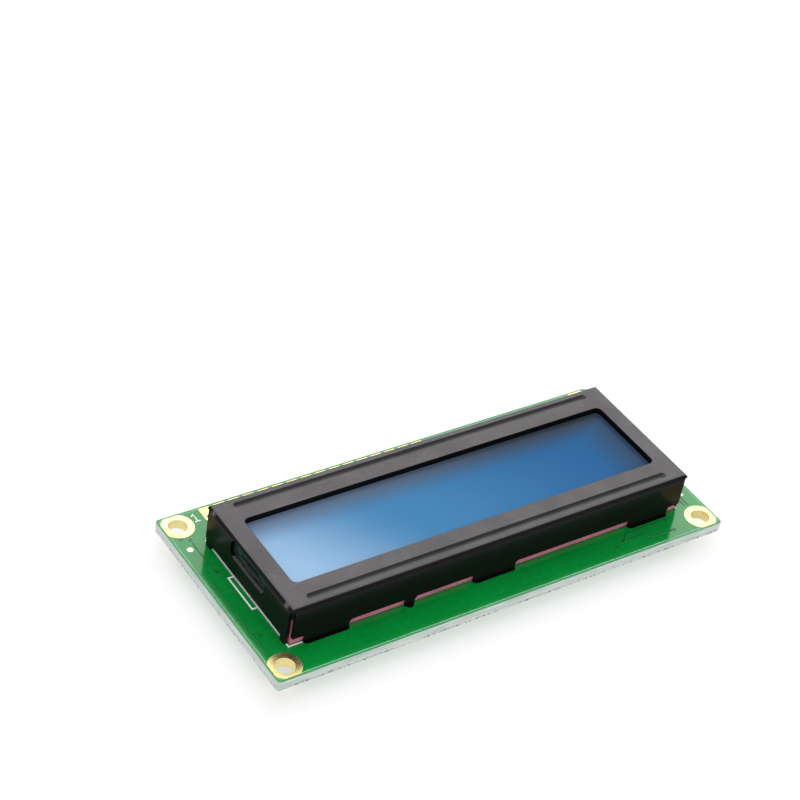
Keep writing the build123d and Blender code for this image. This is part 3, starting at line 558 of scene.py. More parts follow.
def painted_steel(colours):
    """Black stoving paint on the folded sheet: satin flats with rub marks, and painted shade on the upright
    walls and at the groove edges.
    """
    finish = Finish("black_painted_steel", roughness=0.4, specular=0.1)
    tree = finish.tree
    tones = finish.mottle(colours.paint, [c * 0.8 for c in colours.paint], 160.0, 2600.0)
    rubs = finish.effect("rub", Scale=700.0, Amount=0.3)
    worn = add_mix(tree, rubs.outputs["Mask"], tones.outputs["Color"], [c * 1.8 for c in colours.paint])
    # Painted shade: faces that do not face up, the walls, bends and tabs, take a near-black shade colour in
    # place of the paint's own grey
    upward = add_range(tree, finish.axes("Normal")["Z"], 0.86, 0.992)
    place = finish.axes("Object")
    middle = (BEZEL_LOW.y + BEZEL_HIGH.y) / 2 * MM
    from_middle = add_absolute(tree, add_math(tree, "SUBTRACT", place["Y"], middle))
    from_groove = add_absolute(tree, add_math(tree, "SUBTRACT", from_middle, GROOVE_FROM_MIDDLE * MM))
    # Painted shade in the grooves: their sides darken towards the groove's edges, their middle keeps the
    # paint's colour
    in_groove = add_range(tree, from_groove, 0.00016, 0.00044, 0.95, 0.30)
    near = add_range(tree, from_groove, GROOVE_HALF_WIDTH * MM, (GROOVE_HALF_WIDTH + 0.06) * MM, 1.0, 0.0)
    in_groove = add_math(tree, "MULTIPLY", in_groove, near)
    on_top = add_range(tree, place["Z"], GROOVE_FLOOR_Z * MM, (GROOVE_FLOOR_Z + 0.1) * MM)
    in_groove = add_math(tree, "MULTIPLY", in_groove, on_top)
    upward = add_math(tree, "MAXIMUM", upward, in_groove)
    finish.feed(add_mix(tree, upward, colours.paint_wall_shade, worn), "Base Color")
    satin = add_range(tree, tones.outputs["Mask"], 0.0, 1.0, 0.34, 0.46, smooth=False)
    gloss = add_math(tree, "MULTIPLY", add_math(tree, "SUBTRACT", 1.0, upward), -0.19)
    finish.feed(add_math(tree, "ADD", satin, gloss), "Roughness")
    finish.grained(2600.0, 0.1, 0.00002)
    return finish.material


def woven_mask(finish, colours):
    """Green mask with a faint weave of the cloth below it."""
    tree = finish.tree
    tones = finish.mottle(colours.mask, [c * 0.8 for c in colours.mask], 90.0, 1400.0)
    threads = []
    for direction in ("X", "Y"):
        weave = add_node(tree, "ShaderNodeTexWave", {"Scale": 190.0, "Distortion": 1.5, "Detail": 1.0},
                         bands_direction=direction)
        tree.links.new(finish.place, weave.inputs["Vector"])
        threads.append(weave.outputs["Fac"])
    weave_sum = add_math(tree, "ADD", *threads)
    share = add_range(tree, weave_sum, 0.0, 2.0, 0.0, 0.06)
    return add_mix(tree, share, tones.outputs["Color"], colours.mask_on_copper)


def cut_edge(finish, colours):
    """Thin layers of glass cloth, dark specks where the cutter broke them out, and painted shade on the walls
    of the slots.
    """
    tree = finish.tree
    place = finish.axes("Object")
    layers = add_node(tree, "ShaderNodeMapping", {"Scale": (0.35, 0.35, 9.0)})
    tree.links.new(finish.place, layers.inputs["Vector"])
    cloth = finish.noise(layers.outputs["Vector"], Scale=700.0, Detail=4.0, Roughness=0.65)
    edge = add_mix(tree, add_range(tree, cloth, 0.38, 0.62), colours.laminate_dark, colours.laminate)
    broken = finish.noise(Scale=2100.0, Detail=3.0, Roughness=0.7)
    low_band = add_range(tree, place["Z"], 0.0, 0.0006, 1.0, 0.0)
    specks = add_math(tree, "MULTIPLY", add_range(tree, broken, 0.52, 0.62), low_band)
    edge = add_mix(tree, specks, edge, colours.laminate_burr)
    # Painted shade: inside the slot region the cut laminate turns near-black
    inside = []
    for axis, reach in (("X", SLOTS_WITHIN_X), ("Y", SLOTS_WITHIN_Y)):
        away = add_absolute(tree, place[axis])
        inside.append(add_range(tree, away, reach * MM, (reach + 0.4) * MM, 1.0, 0.0))
    return add_mix(tree, add_math(tree, "MULTIPLY", *inside), edge, colours.slot_wall_shade)


def board_finish(colours):
    """Green solder mask on the flats, glossier in front, and pale glass laminate on every cut edge."""
    finish = Finish("green_board", roughness=0.22, specular=0.2)
    tree = finish.tree
    facing = finish.axes("Normal")["Z"]
    flat = add_range(tree, add_absolute(tree, facing), 0.5, 0.7)
    finish.feed(add_mix(tree, flat, cut_edge(finish, colours), woven_mask(finish, colours)), "Base Color")
    mask_roughness = add_range(tree, facing, 0.5, 0.7, 0.2, 0.11)
    finish.feed(add_mix_value(tree, flat, 0.75, mask_roughness), "Roughness")
    finish.feed(add_range(tree, facing, 0.5, 0.7, 0.2, 0.5), "Specular IOR Level")
    finish.grained(900.0, 0.25)
    return finish.material


def track_finish(name, tone, specular):
    """Green mask drawn over a copper track or ring, or sunk round one."""
    finish = Finish(name, roughness=0.2, specular=specular)
    tones = finish.mottle(tone, [c * 0.82 for c in tone], 200.0, 2200.0)
    finish.feed(tones.outputs["Color"], "Base Color")
    finish.grained(2400.0, 0.25)
    return finish.material


def gold_plate(colours):
    """Thin gold over copper and nickel: pale yellow, soft, with handling marks."""
    finish = Finish("gold_plate", roughness=0.32, metallic=1.0)
    tree = finish.tree
    tones = finish.mottle(colours.gold, colours.gold_shade, 260.0, 2400.0)
    rubs = finish.effect("rub", Scale=1600.0, Amount=0.2)
    plate = add_mix(tree, rubs.outputs["Mask"], tones.outputs["Color"], [c * 0.72 for c in colours.gold])
    # Painted shade: the walls of the small holes turn dark brown, those of the four mounting holes keep the
    # gold
    wall = add_range(tree, add_absolute(tree, finish.axes("Normal")["Z"]), 0.3, 0.5, 1.0, 0.0)
    place = finish.axes("Object")
    at_corner = []
    for axis, reach in (("X", MOUNTING_RINGS_PAST_X), ("Y", MOUNTING_RINGS_PAST_Y)):
        at_corner.append(add_range(tree, add_absolute(tree, place[axis]), reach * MM, (reach + 0.3) * MM))
    away = add_math(tree, "SUBTRACT", 1.0, add_math(tree, "MULTIPLY", *at_corner))
    finish.feed(add_mix(tree, add_math(tree, "MULTIPLY", wall, away), plate, colours.gold_hole_shade), "Base Color")
    finish.rough(tones.outputs["Mask"], 0.26, 0.42)
    finish.grained(3800.0, 0.1)
    return finish.material


def bright_solder(colours):
    """Tin solder: bright, with a slightly wrinkled skin."""
    finish = Finish("bright_solder", roughness=0.22, metallic=1.0)
    tones = finish.mottle(colours.solder, [c * 0.7 for c in colours.solder], 500.0, 3000.0)
    finish.feed(tones.outputs["Color"], "Base Color")
    finish.rough(tones.outputs["Mask"], 0.14, 0.4)
    finish.grained(1900.0, 0.5, 0.00004)
    return finish.material


def plain_finish(name, tone, shade, roughness, coarse=200.0, fine=2500.0, grain=3000.0, bump=0.2, **values):
    """A non-metal with two-tone drift and a fine grain."""
    finish = Finish(name, roughness=roughness, **values)
    tones = finish.mottle(tone, shade, coarse, fine)
    finish.feed(tones.outputs["Color"], "Base Color")
    finish.rough(tones.outputs["Mask"], roughness * 0.85, min(1.0, roughness * 1.15))
    finish.grained(grain, bump, 0.00002)
    return finish.material


def display_finish(colours):
    """Blue front polariser: deep blue, with a painted reflection that lightens it towards the near left and a
    painted shadow of the bezel along the far and right rims.
    """
    finish = Finish("blue_display", roughness=0.14, specular=0.02)
    tree = finish.tree
    place = finish.axes("Object")
    middle = (BEZEL_LOW.y + BEZEL_HIGH.y) / 2
    along = add_range(tree, place["X"], -WINDOW_HALF_LENGTH * MM, WINDOW_HALF_LENGTH * MM, smooth=False)
    across = add_range(tree, place["Y"], (middle - WINDOW_HALF_WIDTH) * MM, (middle + WINDOW_HALF_WIDTH) * MM,
                       smooth=False)
    drift = add_math(tree, "SUBTRACT", finish.noise(Scale=60.0, Detail=2.0), 0.5)
    slant = add_math(tree, "ADD", along, add_math(tree, "MULTIPLY", across, 0.16))
    slant = add_math(tree, "ADD", slant, add_math(tree, "MULTIPLY", drift, 0.05))
    # Painted reflection: the deep blue lightens across the window towards the near left
    first = add_mix(tree, add_range(tree, slant, 0.0, 0.42), colours.display_reflection, colours.display_middle)
    body = add_mix(tree, add_range(tree, slant, 0.36, 1.0), first, colours.display_deep)
    # Painted shadow of the bezel: greyed bands along the far and right rims of the window
    rim_far = add_range(tree, across, 0.60, 1.0)
    rim_right = add_range(tree, along, 0.87, 1.01, 0.0, 0.8)
    rim = add_math(tree, "MAXIMUM", rim_far, rim_right)
    shade = add_mix(tree, add_range(tree, along, 0.0, 0.9), colours.display_bezel_shadow_left,
                    colours.display_bezel_shadow_right)
    finish.feed(add_mix(tree, rim, body, shade), "Base Color")
    finish.grained(5000.0, 0.06)
    return finish.material


def clear_finish(name, tone, shade, clearness, refraction, mottle, grain, bump, **values):
    """Clear glass or plastic with faint flow marks."""
    finish = Finish(name, Transmission_Weight=clearness, IOR=refraction, **values)
    finish.feed(finish.mottle(tone, shade, *mottle).outputs["Color"], "Base Color")
    finish.grained(grain, bump)
    return finish.material


MATERIALS = {}


def material(name):
    """Return one of the part's materials, building all of them the first time."""
    if not MATERIALS:
        colours = bpy.context.scene.module_colours
        MATERIALS.update(
            paint=painted_steel(colours),
            board=board_finish(colours),
            track=track_finish("green_over_copper", colours.mask_on_copper, 0.4),
            track_gap=track_finish("green_beside_copper", colours.mask_gap, 0.4),
            # Painted highlight: pale green for the glint along the board's edge
            edge_line=plain_finish("mask_edge_highlight", (0.24, 0.60, 0.38), (0.08, 0.42, 0.18), 0.25, 260.0,
                                   1800.0, 2400.0, 0.2),
            gold=gold_plate(colours),
            solder=bright_solder(colours),
            display=display_finish(colours),
            glass=clear_finish("cell_glass", (0.06, 0.14, 0.12), (0.03, 0.08, 0.07), 0.7, 1.5,
                               (300.0, 2000.0), 2500.0, 0.15, roughness=0.08, specular=0.2),
            ink=plain_finish("white_ink", colours.ink, [c * 0.86 for c in colours.ink], 0.6, 300.0, 3500.0,
                             3200.0, 0.4),
            epoxy=plain_finish("black_epoxy", colours.epoxy, [c * 0.6 for c in colours.epoxy], 0.62, 220.0,
                               2600.0, 1500.0, 0.45, specular=0.18),
            rubber=plain_finish("pink_rubber", colours.rubber, [c * 0.72 for c in colours.rubber], 0.6,
                                240.0, 2200.0),
            white_plastic=plain_finish("white_plastic", (0.80, 0.81, 0.80), (0.70, 0.71, 0.70), 0.45),
            white_film=plain_finish("white_film", (0.82, 0.83, 0.84), (0.74, 0.75, 0.77), 0.5, 120.0, 1800.0),
            dark_film=plain_finish("rear_film", (0.05, 0.06, 0.09), (0.03, 0.04, 0.06), 0.3, 150.0, 2000.0),
            silicon=plain_finish("silicon", (0.16, 0.16, 0.19), (0.10, 0.10, 0.12), 0.2, 900.0, 6000.0,
                                 metallic=0.6),
            cell_glue=plain_finish("cell_glue", (0.30, 0.30, 0.29), (0.22, 0.22, 0.21), 0.5),
            # Painted shade: the port's glue is near-black for the shade in the port's recess, in place of its
            # own grey
            port_glue=plain_finish("port_glue", (0.03, 0.035, 0.035), (0.012, 0.015, 0.015), 0.25, 500.0,
                                   3000.0, 1500.0, 0.5, specular=0.1),
            acrylic=clear_finish("clear_acrylic", (0.90, 0.93, 0.95), (0.81, 0.837, 0.855), 0.85, 1.49,
                                 (150.0, 900.0), 1500.0, 0.1, roughness=0.1),
            lamp_board=plain_finish("lamp_board_mask", (0.46, 0.45, 0.44), (0.36, 0.36, 0.35), 0.35, 200.0,
                                    2200.0),
            lamp_package=plain_finish("lamp_package", (0.80, 0.79, 0.72), (0.70, 0.68, 0.55), 0.4, 700.0,
                                      4000.0),
            chip_glaze=plain_finish("chip_glaze", (0.022, 0.022, 0.024), (0.012, 0.012, 0.013), 0.25,
                                    900.0, 5000.0),
            ceramic=plain_finish("white_ceramic", (0.62, 0.62, 0.60), (0.48, 0.48, 0.46), 0.55, 900.0,
                                 5000.0),
        )
    return MATERIALS[name]


# Tracks
def offset_path(points, distance):
    """Shift a run of points sideways by distance, mitred at its corners."""
    shifted = []
    for index, point in enumerate(points):
        normals = []
        for first, second in ((index - 1, index), (index, index + 1)):
            if first >= 0 and second < len(points):
                run = Vector(points[second]) - Vector(points[first])
                normals.append(Vector((-run.y, run.x)).normalized())
        middle = sum(normals, Vector((0.0, 0.0))).normalized()
        reach = distance / max(0.5, middle.dot(normals[0]))
        shifted.append((point[0] + middle.x * reach, point[1] + middle.y * reach))
    return shifted


def spread_bundles(bundles, width):
    """List the paths of every track in the bundles, each with its width."""
    paths = []
    for points, count, pitch in bundles:
        for line in range(count):
            paths.append((offset_path(points, (line - (count - 1) / 2) * pitch), width))
    return paths


def lay_tracks(name, paths, level, side, finish="track", slot="board"):
    """Lay flat tracks with sloped sides along the paths, on the board's front (side 1) or back (side -1)."""
    sizes = bpy.context.scene.module_sizes
    profile = bpy.data.curves.new(f"{name}_profile", "CURVE")
    profile.dimensions = "2D"
    half, height = sizes.track_width / 2, sizes.track_height * side
    outline = profile.splines.new("POLY")
    outline.points.add(3)
    corners = [(-half, 0.0), (-half * 0.6, height), (half * 0.6, height), (half, 0.0)]
    for spot, (x, y) in zip(outline.points, corners):
        spot.co = (x, y, 0.0, 1.0)
    outline.use_cyclic_u = True
    profile_object = bpy.data.objects.new(f"{name}_profile", profile)
    bpy.context.scene.collection.objects.link(profile_object)
    curve = bpy.data.curves.new(name, "CURVE")
    curve.dimensions = "3D"
    curve.twist_mode = "Z_UP"
    curve.bevel_mode = "OBJECT"
    curve.bevel_object = profile_object
    curve.use_fill_caps = True
    for path, width in paths:
        spline = curve.splines.new("POLY")
        spline.points.add(len(path) - 1)
        for spot, (x, y) in zip(spline.points, path):
            spot.co = (x * MM, y * MM, level * MM, 1.0)
            spot.radius = width
    tracks = bpy.data.objects.new(name, curve)
    bpy.context.scene.collection.objects.link(tracks)
    select_only(tracks)
    bpy.ops.object.convert(target="MESH")
    tracks = bpy.context.view_layer.objects.active
    bpy.data.objects.remove(profile_object)
    select_only(tracks)
    bpy.ops.object.mode_set(mode="EDIT")
    bpy.ops.mesh.select_all(action="SELECT")
    bpy.ops.mesh.normals_make_consistent(inside=False)
    bpy.ops.object.mode_set(mode="OBJECT")
    tracks.name = name
    return dress(tracks, slot, material(finish))


# Settings
def length(name, description, default):
    """Describe a length that the user can set, in metres."""
    return bpy.props.FloatProperty(name=name, description=description, default=default, unit="LENGTH")


def colour(name, description, default):
    """Describe a linear colour that the user can set."""
    return bpy.props.FloatVectorProperty(
        name=name, description=description, subtype="COLOR", size=3, default=default, min=0.0, max=1.0)


class ModuleSizes(bpy.types.PropertyGroup):
    """Sizes of the fine detail that the scene adds, in metres."""

    track_width: length("Track width", "Width of a copper track under the mask", 0.0002)
    track_height: length("Track height", "Height of a track above the board", 0.000022)
    wide_track_width: length("Supply track width", "Width of the few wide tracks", 0.00027)
    # The pale line round the board is a painted highlight
    edge_line_width: length("Edge line width", "Width of the pale line round the board", 0.00022)
    via_radius: length("Via radius", "Outer radius of a covered via", 0.00032)
    via_hole_radius: length("Via hole radius", "Radius of the dimple in a via", 0.00015)
    stroke_width: length("Stroke width", "Width of the strokes of a printed one", 0.00028)
    number_height: length("Ink height", "Thickness of the printed numbers", 0.00003)


class ModuleColours(bpy.types.PropertyGroup):
    """Colours of the module's finishes, linear."""

    mask: colour("Solder mask", "Green mask on bare laminate", (0.0, 0.25, 0.034))
    mask_on_copper: colour("Mask on copper", "Green mask where copper lies under it", (0.02, 0.37, 0.125))
    mask_gap: colour(
        "Mask beside copper", "Green mask in the gaps between copper areas", (0.0, 0.15, 0.025))
    laminate: colour("Laminate", "Cut edge of the board", (0.82, 0.88, 0.85))
    laminate_dark: colour("Laminate shade", "Darker layers in the cut edge", (0.58, 0.68, 0.64))
    laminate_burr: colour("Laminate burr", "Specks along the lower cut edge", (0.09, 0.10, 0.09))
    slot_wall_shade: colour(
        "Slot walls", "Shaded laminate inside the slots and peg holes", (0.012, 0.016, 0.013))
    gold: colour("Gold", "Plated pads and rings", (0.82, 0.71, 0.33))
    gold_shade: colour("Gold shade", "Darker tone of the plating", (0.68, 0.56, 0.22))
    gold_hole_shade: colour("Gold in holes", "Shaded plating in the small holes", (0.23, 0.12, 0.035))
    solder: colour("Solder", "Tin solder", (0.52, 0.51, 0.50))
    ink: colour("Ink", "White printing", (0.94, 0.975, 0.97))
    epoxy: colour("Epoxy", "Black drops over the dies", (0.012, 0.012, 0.014))
    paint: colour("Bezel paint", "Satin paint on the bezel's top", (0.112, 0.106, 0.111))
    # Painted shade: near-black colour that the upright walls and tabs take in place of the paint
    paint_wall_shade: colour("Bezel walls", "Paint on the upright walls and tabs", (0.004, 0.004, 0.004))
    rubber: colour("Contact rubber", "Pink contact strips", (0.98, 0.29, 0.46))
    # Painted reflection: the near-left and middle colours lighten the display's deep blue
    display_reflection: colour("Display near left", "Lightest part of the display", (0.31, 0.48, 0.68))
    display_middle: colour("Display middle", "Middle of the display", (0.050, 0.195, 0.39))
    display_deep: colour("Display right", "Deep blue at the display's right", (0.018, 0.105, 0.27))
    # Painted shadow of the bezel along the display's far rim
    display_bezel_shadow_left: colour(
        "Far rim left", "Greyed tone along the far rim at the left", (0.10, 0.14, 0.22))
    display_bezel_shadow_right: colour(
        "Far rim right", "Greyed tone along the far rim at the right", (0.034, 0.045, 0.064))


class StageSettings(bpy.types.PropertyGroup):
    """Floor, light and camera of the scene."""

    floor_size: length("Floor size", "Side of the square floor", 4.0)
    floor_colour: colour("Floor", "Colour of the floor", (0.92, 0.92, 0.92))
    key_power: bpy.props.FloatProperty(
        name="Key light", description="Power of the softbox behind the module", default=1.3, unit="POWER")
    top_power: bpy.props.FloatProperty(
        name="Top light", description="Power of the overhead softbox", default=1.3, unit="POWER")
    world_strength: bpy.props.FloatProperty(
        name="Surround", description="Strength of the even light from all round", default=0.75)


# Operators
class DISPLAYMODULE_OT_board(bpy.types.Operator):
    """Dress the circuit board, its plating and its printed frames"""

    bl_idname = "displaymodule.board"
    bl_label = "Board"

    def execute(self, context):
        dress_node("pcb", material("board"))
        for node in ("header_plating", "mounting_hole_plating", "backlight_plating"):
            smooth_copy(node, f"{node}_gold", "gold", material("gold"))
        for node in ("ground_lands", "component_pads", "jumper_pads", "resistor_pads"):
            dress_node(node, material("gold"))
        for node in ("front_print", "back_print"):
            dress_node(node, material("ink"))
        return {"FINISHED"}


class DISPLAYMODULE_OT_tracks(bpy.types.Operator):
    """Lay the copper tracks that show through the mask on both faces"""

    bl_idname = "displaymodule.tracks"
    bl_label = "Tracks"

    def execute(self, context):
        sizes = context.scene.module_sizes
        wide = sizes.wide_track_width / sizes.track_width
        back = spread_bundles(BACK_BUNDLES, 1.0)
        for first_x, count, pitch, upper_y in COMBS:
            for line in range(count):
                x = first_x + line * pitch
                back.append(([(x, upper_y), (x, COMB_END_Y)], 1.0))
        back += [(outline, wide) for outline in BACK_OUTLINES]
        lay_tracks("back_tracks", back, 0.0, -1)
        lay_tracks("front_tracks", spread_bundles(FRONT_BUNDLES, wide), BOARD_HIGH.z, 1, "track_gap")
        return {"FINISHED"}


class DISPLAYMODULE_OT_edge_lines(bpy.types.Operator):
    """Lay the line that runs round each face of the board just inside its edge and its notch, coloured pale
    as a painted highlight
    """

    bl_idname = "displaymodule.edge_lines"
    bl_label = "Edge lines"

    def execute(self, context):
        sizes = context.scene.module_sizes
        width = sizes.edge_line_width / sizes.track_width
        for name, level, side in (("back_edge_line", 0.0, -1), ("front_edge_line", BOARD_HIGH.z, 1)):
            lay_tracks(name, [(EDGE_HIGHLIGHT, width)], level, side, "edge_line")
        return {"FINISHED"}


class DISPLAYMODULE_OT_vias(bpy.types.Operator):
    """Set the covered vias: low rings with a dimple in the middle"""

    bl_idname = "displaymodule.vias"
    bl_label = "Vias"

    def execute(self, context):
        combs = [(x + line * pitch, COMB_END_Y) for x, count, pitch, _ in COMBS for line in range(count)]
        low_x, low_y = BEZEL_LOW.x - CLEAR_OF_BEZEL, BEZEL_LOW.y - CLEAR_OF_BEZEL
        high_x, high_y = BEZEL_HIGH.x + CLEAR_OF_BEZEL, BEZEL_HIGH.y + CLEAR_OF_BEZEL
        clear_of_bezel = [(x, y) for x, y in VIAS if not (low_x < x < high_x and low_y < y < high_y)]
        for name, places, level, side, finish in (
            ("back_vias", VIAS + combs, 0.0, -1, "track"),
            ("front_vias", clear_of_bezel, BOARD_HIGH.z, 1, "track_gap"),
        ):
            pattern = self.model_via(context, side)
            copies = []
            for x, y in places:
                copies.append(place_copy(pattern, (x * MM, y * MM, level * MM)))
            bpy.data.objects.remove(pattern)
            piece = join_as(name, copies)
            apply_place(piece)
            dress(piece, "board", material(finish), material("track_gap"))
        return {"FINISHED"}

    def model_via(self, context, side):
        """Model one via at the origin, standing off the board by the height of a track."""
        sizes = context.scene.module_sizes
        deselect_all()
        height = sizes.track_height * 1.2
        bpy.ops.mesh.primitive_cylinder_add(vertices=20, radius=sizes.via_radius, depth=height,
                                            location=(0.0, 0.0, side * height / 2))
        via = context.view_layer.objects.active
        apply_place(via)
        select_faces(via, lambda face: face.normal.z * side > 0.9)
        bpy.ops.mesh.inset(thickness=sizes.via_radius * 0.3)
        bpy.ops.mesh.inset(thickness=sizes.via_radius * 0.7 - sizes.via_hole_radius)
        bpy.ops.mesh.inset(thickness=sizes.via_hole_radius * 0.4)
        bpy.ops.transform.translate(value=(0.0, 0.0, -side * height * 0.9))
        bpy.ops.object.mode_set(mode="OBJECT")
        bpy.ops.object.shade_smooth_by_angle(angle=math.radians(50.0))
        for face in via.data.polygons:
            in_dimple = face.center.xy.length < sizes.via_hole_radius and face.center.z * side > 0.0
            face.material_index = int(in_dimple)
        prepare(via, "track", "track_gap")
        return via


class DISPLAYMODULE_OT_numbers(bpy.types.Operator):
    """Print the plain numbers and signs beside the holes and pads"""

    bl_idname = "displaymodule.numbers"
    bl_label = "Numbers"

    def execute(self, context):
        sizes = context.scene.module_sizes
        thickness = sizes.number_height
        for name, rows, face, side, right, up in (
            ("back_numbers", BACK_NUMBERS, 0.0, -1, -1, 1),
            ("back_pin_numbers", BACK_PIN_NUMBERS, 0.0, -1, 1, -1),
            ("front_numbers", FRONT_NUMBERS, BOARD_HIGH.z, 1, 1, 1),
        ):
            level = face * MM + side * thickness / 2
            turn = (math.pi if up < 0 else 0.0, math.pi if right < 0 else 0.0, 0.0)
            strokes = []
            pieces = []
            for text, x, y, height in rows:
                if text == "1":
                    half, reach = height / 2, height * 0.28 * right
                    width = sizes.stroke_width / sizes.track_width
                    stem = [(x - reach, y + half * 0.5 * up), (x, y + half * up), (x, y - half * up)]
                    foot = [(x - reach, y - half * up), (x + reach, y - half * up)]
                    strokes += [(stem, width), (foot, width)]
                    continue
                deselect_all()
                bpy.ops.object.text_add(location=(x * MM, y * MM, level), rotation=turn)
                label = context.view_layer.objects.active
                label.data.body = text
                label.data.size = height * MM / 0.7
                label.data.align_x = "CENTER"
                label.data.align_y = "CENTER"
                label.data.extrude = thickness / 2
                label.data.offset = 0.00003
                label.data.resolution_u = 6
                bpy.ops.object.convert(target="MESH")
                pieces.append(context.view_layer.objects.active)
            pieces.append(lay_tracks(f"{name}_ones", strokes, face, side, "ink", "white_ink"))
            piece = join_as(name, pieces)
            apply_place(piece)
            dress(piece, "white_ink", material("ink"))
        return {"FINISHED"}


class DISPLAYMODULE_OT_bezel(bpy.types.Operator):
    """Paint the folded sheet metal bezel"""

    bl_idname = "displaymodule.bezel"
    bl_label = "Bezel"

    def execute(self, context):
        smooth_copy("bezel", "painted_bezel", "black_steel", material("paint"), 35.0)
        return {"FINISHED"}


class DISPLAYMODULE_OT_display(bpy.types.Operator):
    """Dress the display cell with its polarisers, glasses, glue and contact strips"""

    bl_idname = "displaymodule.display"
    bl_label = "Display"

    def execute(self, context):
        for node, finish in (
            ("front_polariser", "display"),
            ("front_glass", "glass"),
            ("rear_glass", "glass"),
            ("rear_polariser", "dark_film"),
            ("cell_seal", "cell_glue"),
            ("zebra_strip_near", "rubber"),
            ("zebra_strip_far", "rubber"),
        ):
            dress_node(node, material(finish))
        # The glue drop carries painted shade for the port's recess
        smooth_copy("port_seal", "port_glue_drop", "port_glue", material("port_glue"))
        return {"FINISHED"}


class DISPLAYMODULE_OT_backlight(bpy.types.Operator):
    """Dress the backlight with its housing, films, light guide, lamps and lamp board"""

    bl_idname = "displaymodule.backlight"
    bl_label = "Backlight"

    def execute(self, context):
        for node, finish in (
            ("backlight_housing", "white_plastic"),
            ("reflector_film", "white_film"),
            ("diffuser_film", "white_film"),
            ("light_guide", "acrylic"),
            ("lamp_board", "lamp_board"),
            ("lamps", "lamp_package"),
        ):
            dress_node(node, material(finish))
        return {"FINISHED"}


class DISPLAYMODULE_OT_resistors(bpy.types.Operator):
    """Model one chip resistor and set a copy of it at each of the eight places"""

    bl_idname = "displaymodule.resistors"
    bl_label = "Resistors"

    def execute(self, context):
        low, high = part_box("resistor_r1")
        size = high - low
        pattern = self.model_chip(context, size)
        for node, (x, y, _) in RESISTOR_PLACES.items():
            chip = place_copy(pattern, (x * MM, y * MM, high.z))
            chip.name = f"{node}_chip"
            chip.data.name = chip.name
            apply_place(chip)
            dress(chip, "chip", material("ceramic"), material("solder"), material("chip_glaze"))
            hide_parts(node)
        bpy.data.objects.remove(pattern)
        return {"FINISHED"}

    def model_chip(self, context, size):
        """Model one chip hanging from the origin: ceramic body, glazed underside and two tinned caps."""
        cap = size.x * 0.2
        parts = []
        deselect_all()
        bpy.ops.mesh.primitive_cube_add(size=1.0, location=(0.0, 0.0, -size.z * 0.47))
        body = context.view_layer.objects.active
        body.scale = (size.x - cap, size.y * 0.95, size.z * 0.94)
        apply_place(body)
        select_faces(body, lambda face: face.normal.z < -0.9)
        bpy.ops.mesh.inset(thickness=size.y * 0.04)
        bpy.ops.mesh.extrude_region_move(TRANSFORM_OT_translate={"value": (0.0, 0.0, -size.z * 0.04)})
        bpy.ops.object.mode_set(mode="OBJECT")
        for face in body.data.polygons:
            face.material_index = 2 if face.center.z < -size.z * 0.93 else 0
        parts.append(body)
        for side in (-1, 1):
            deselect_all()
            bpy.ops.mesh.primitive_cube_add(size=1.0, location=(side * (size.x - cap) / 2, 0.0, -size.z / 2))
            end = context.view_layer.objects.active
            end.scale = (cap, size.y, size.z)
            apply_place(end)
            select_faces(end, lambda face: face.normal.x * side < -0.9)
            bpy.ops.mesh.inset(thickness=size.z * 0.06)
            bpy.ops.object.mode_set(mode="OBJECT")
            apply_modifier(end, "BEVEL", width=size.z * 0.1, segments=3, limit_method="ANGLE")
            for face in end.data.polygons:
                face.material_index = 1
            parts.append(end)
        for part in parts:
            prepare(part, "ceramic", "solder", "chip_glaze")
        chip = join_as("chip_pattern", parts)
        select_only(chip)
        bpy.ops.object.shade_smooth_by_angle(angle=math.radians(30.0))
        return chip


class DISPLAYMODULE_OT_solder(bpy.types.Operator):
    """Give the solder joints their smooth bright skin"""

    bl_idname = "displaymodule.solder"
    bl_label = "Solder"

    def execute(self, context):
        for node in ("resistor_solder", "jumper_solder", "notch_solder"):
            smooth_copy(node, f"{node}_joint", "solder", material("solder"), 50.0)
        return {"FINISHED"}


class DISPLAYMODULE_OT_drops(bpy.types.Operator):
    """Dress the two epoxy drops and the dies inside them"""

    bl_idname = "displaymodule.drops"
    bl_label = "Epoxy drops"

    def execute(self, context):
        for node in ("controller_drop", "driver_drop"):
            smooth_copy(node, f"{node}_cured", "epoxy", material("epoxy"), 60.0)
        for node in ("controller_die", "driver_die"):
            dress_node(node, material("silicon"))
        return {"FINISHED"}


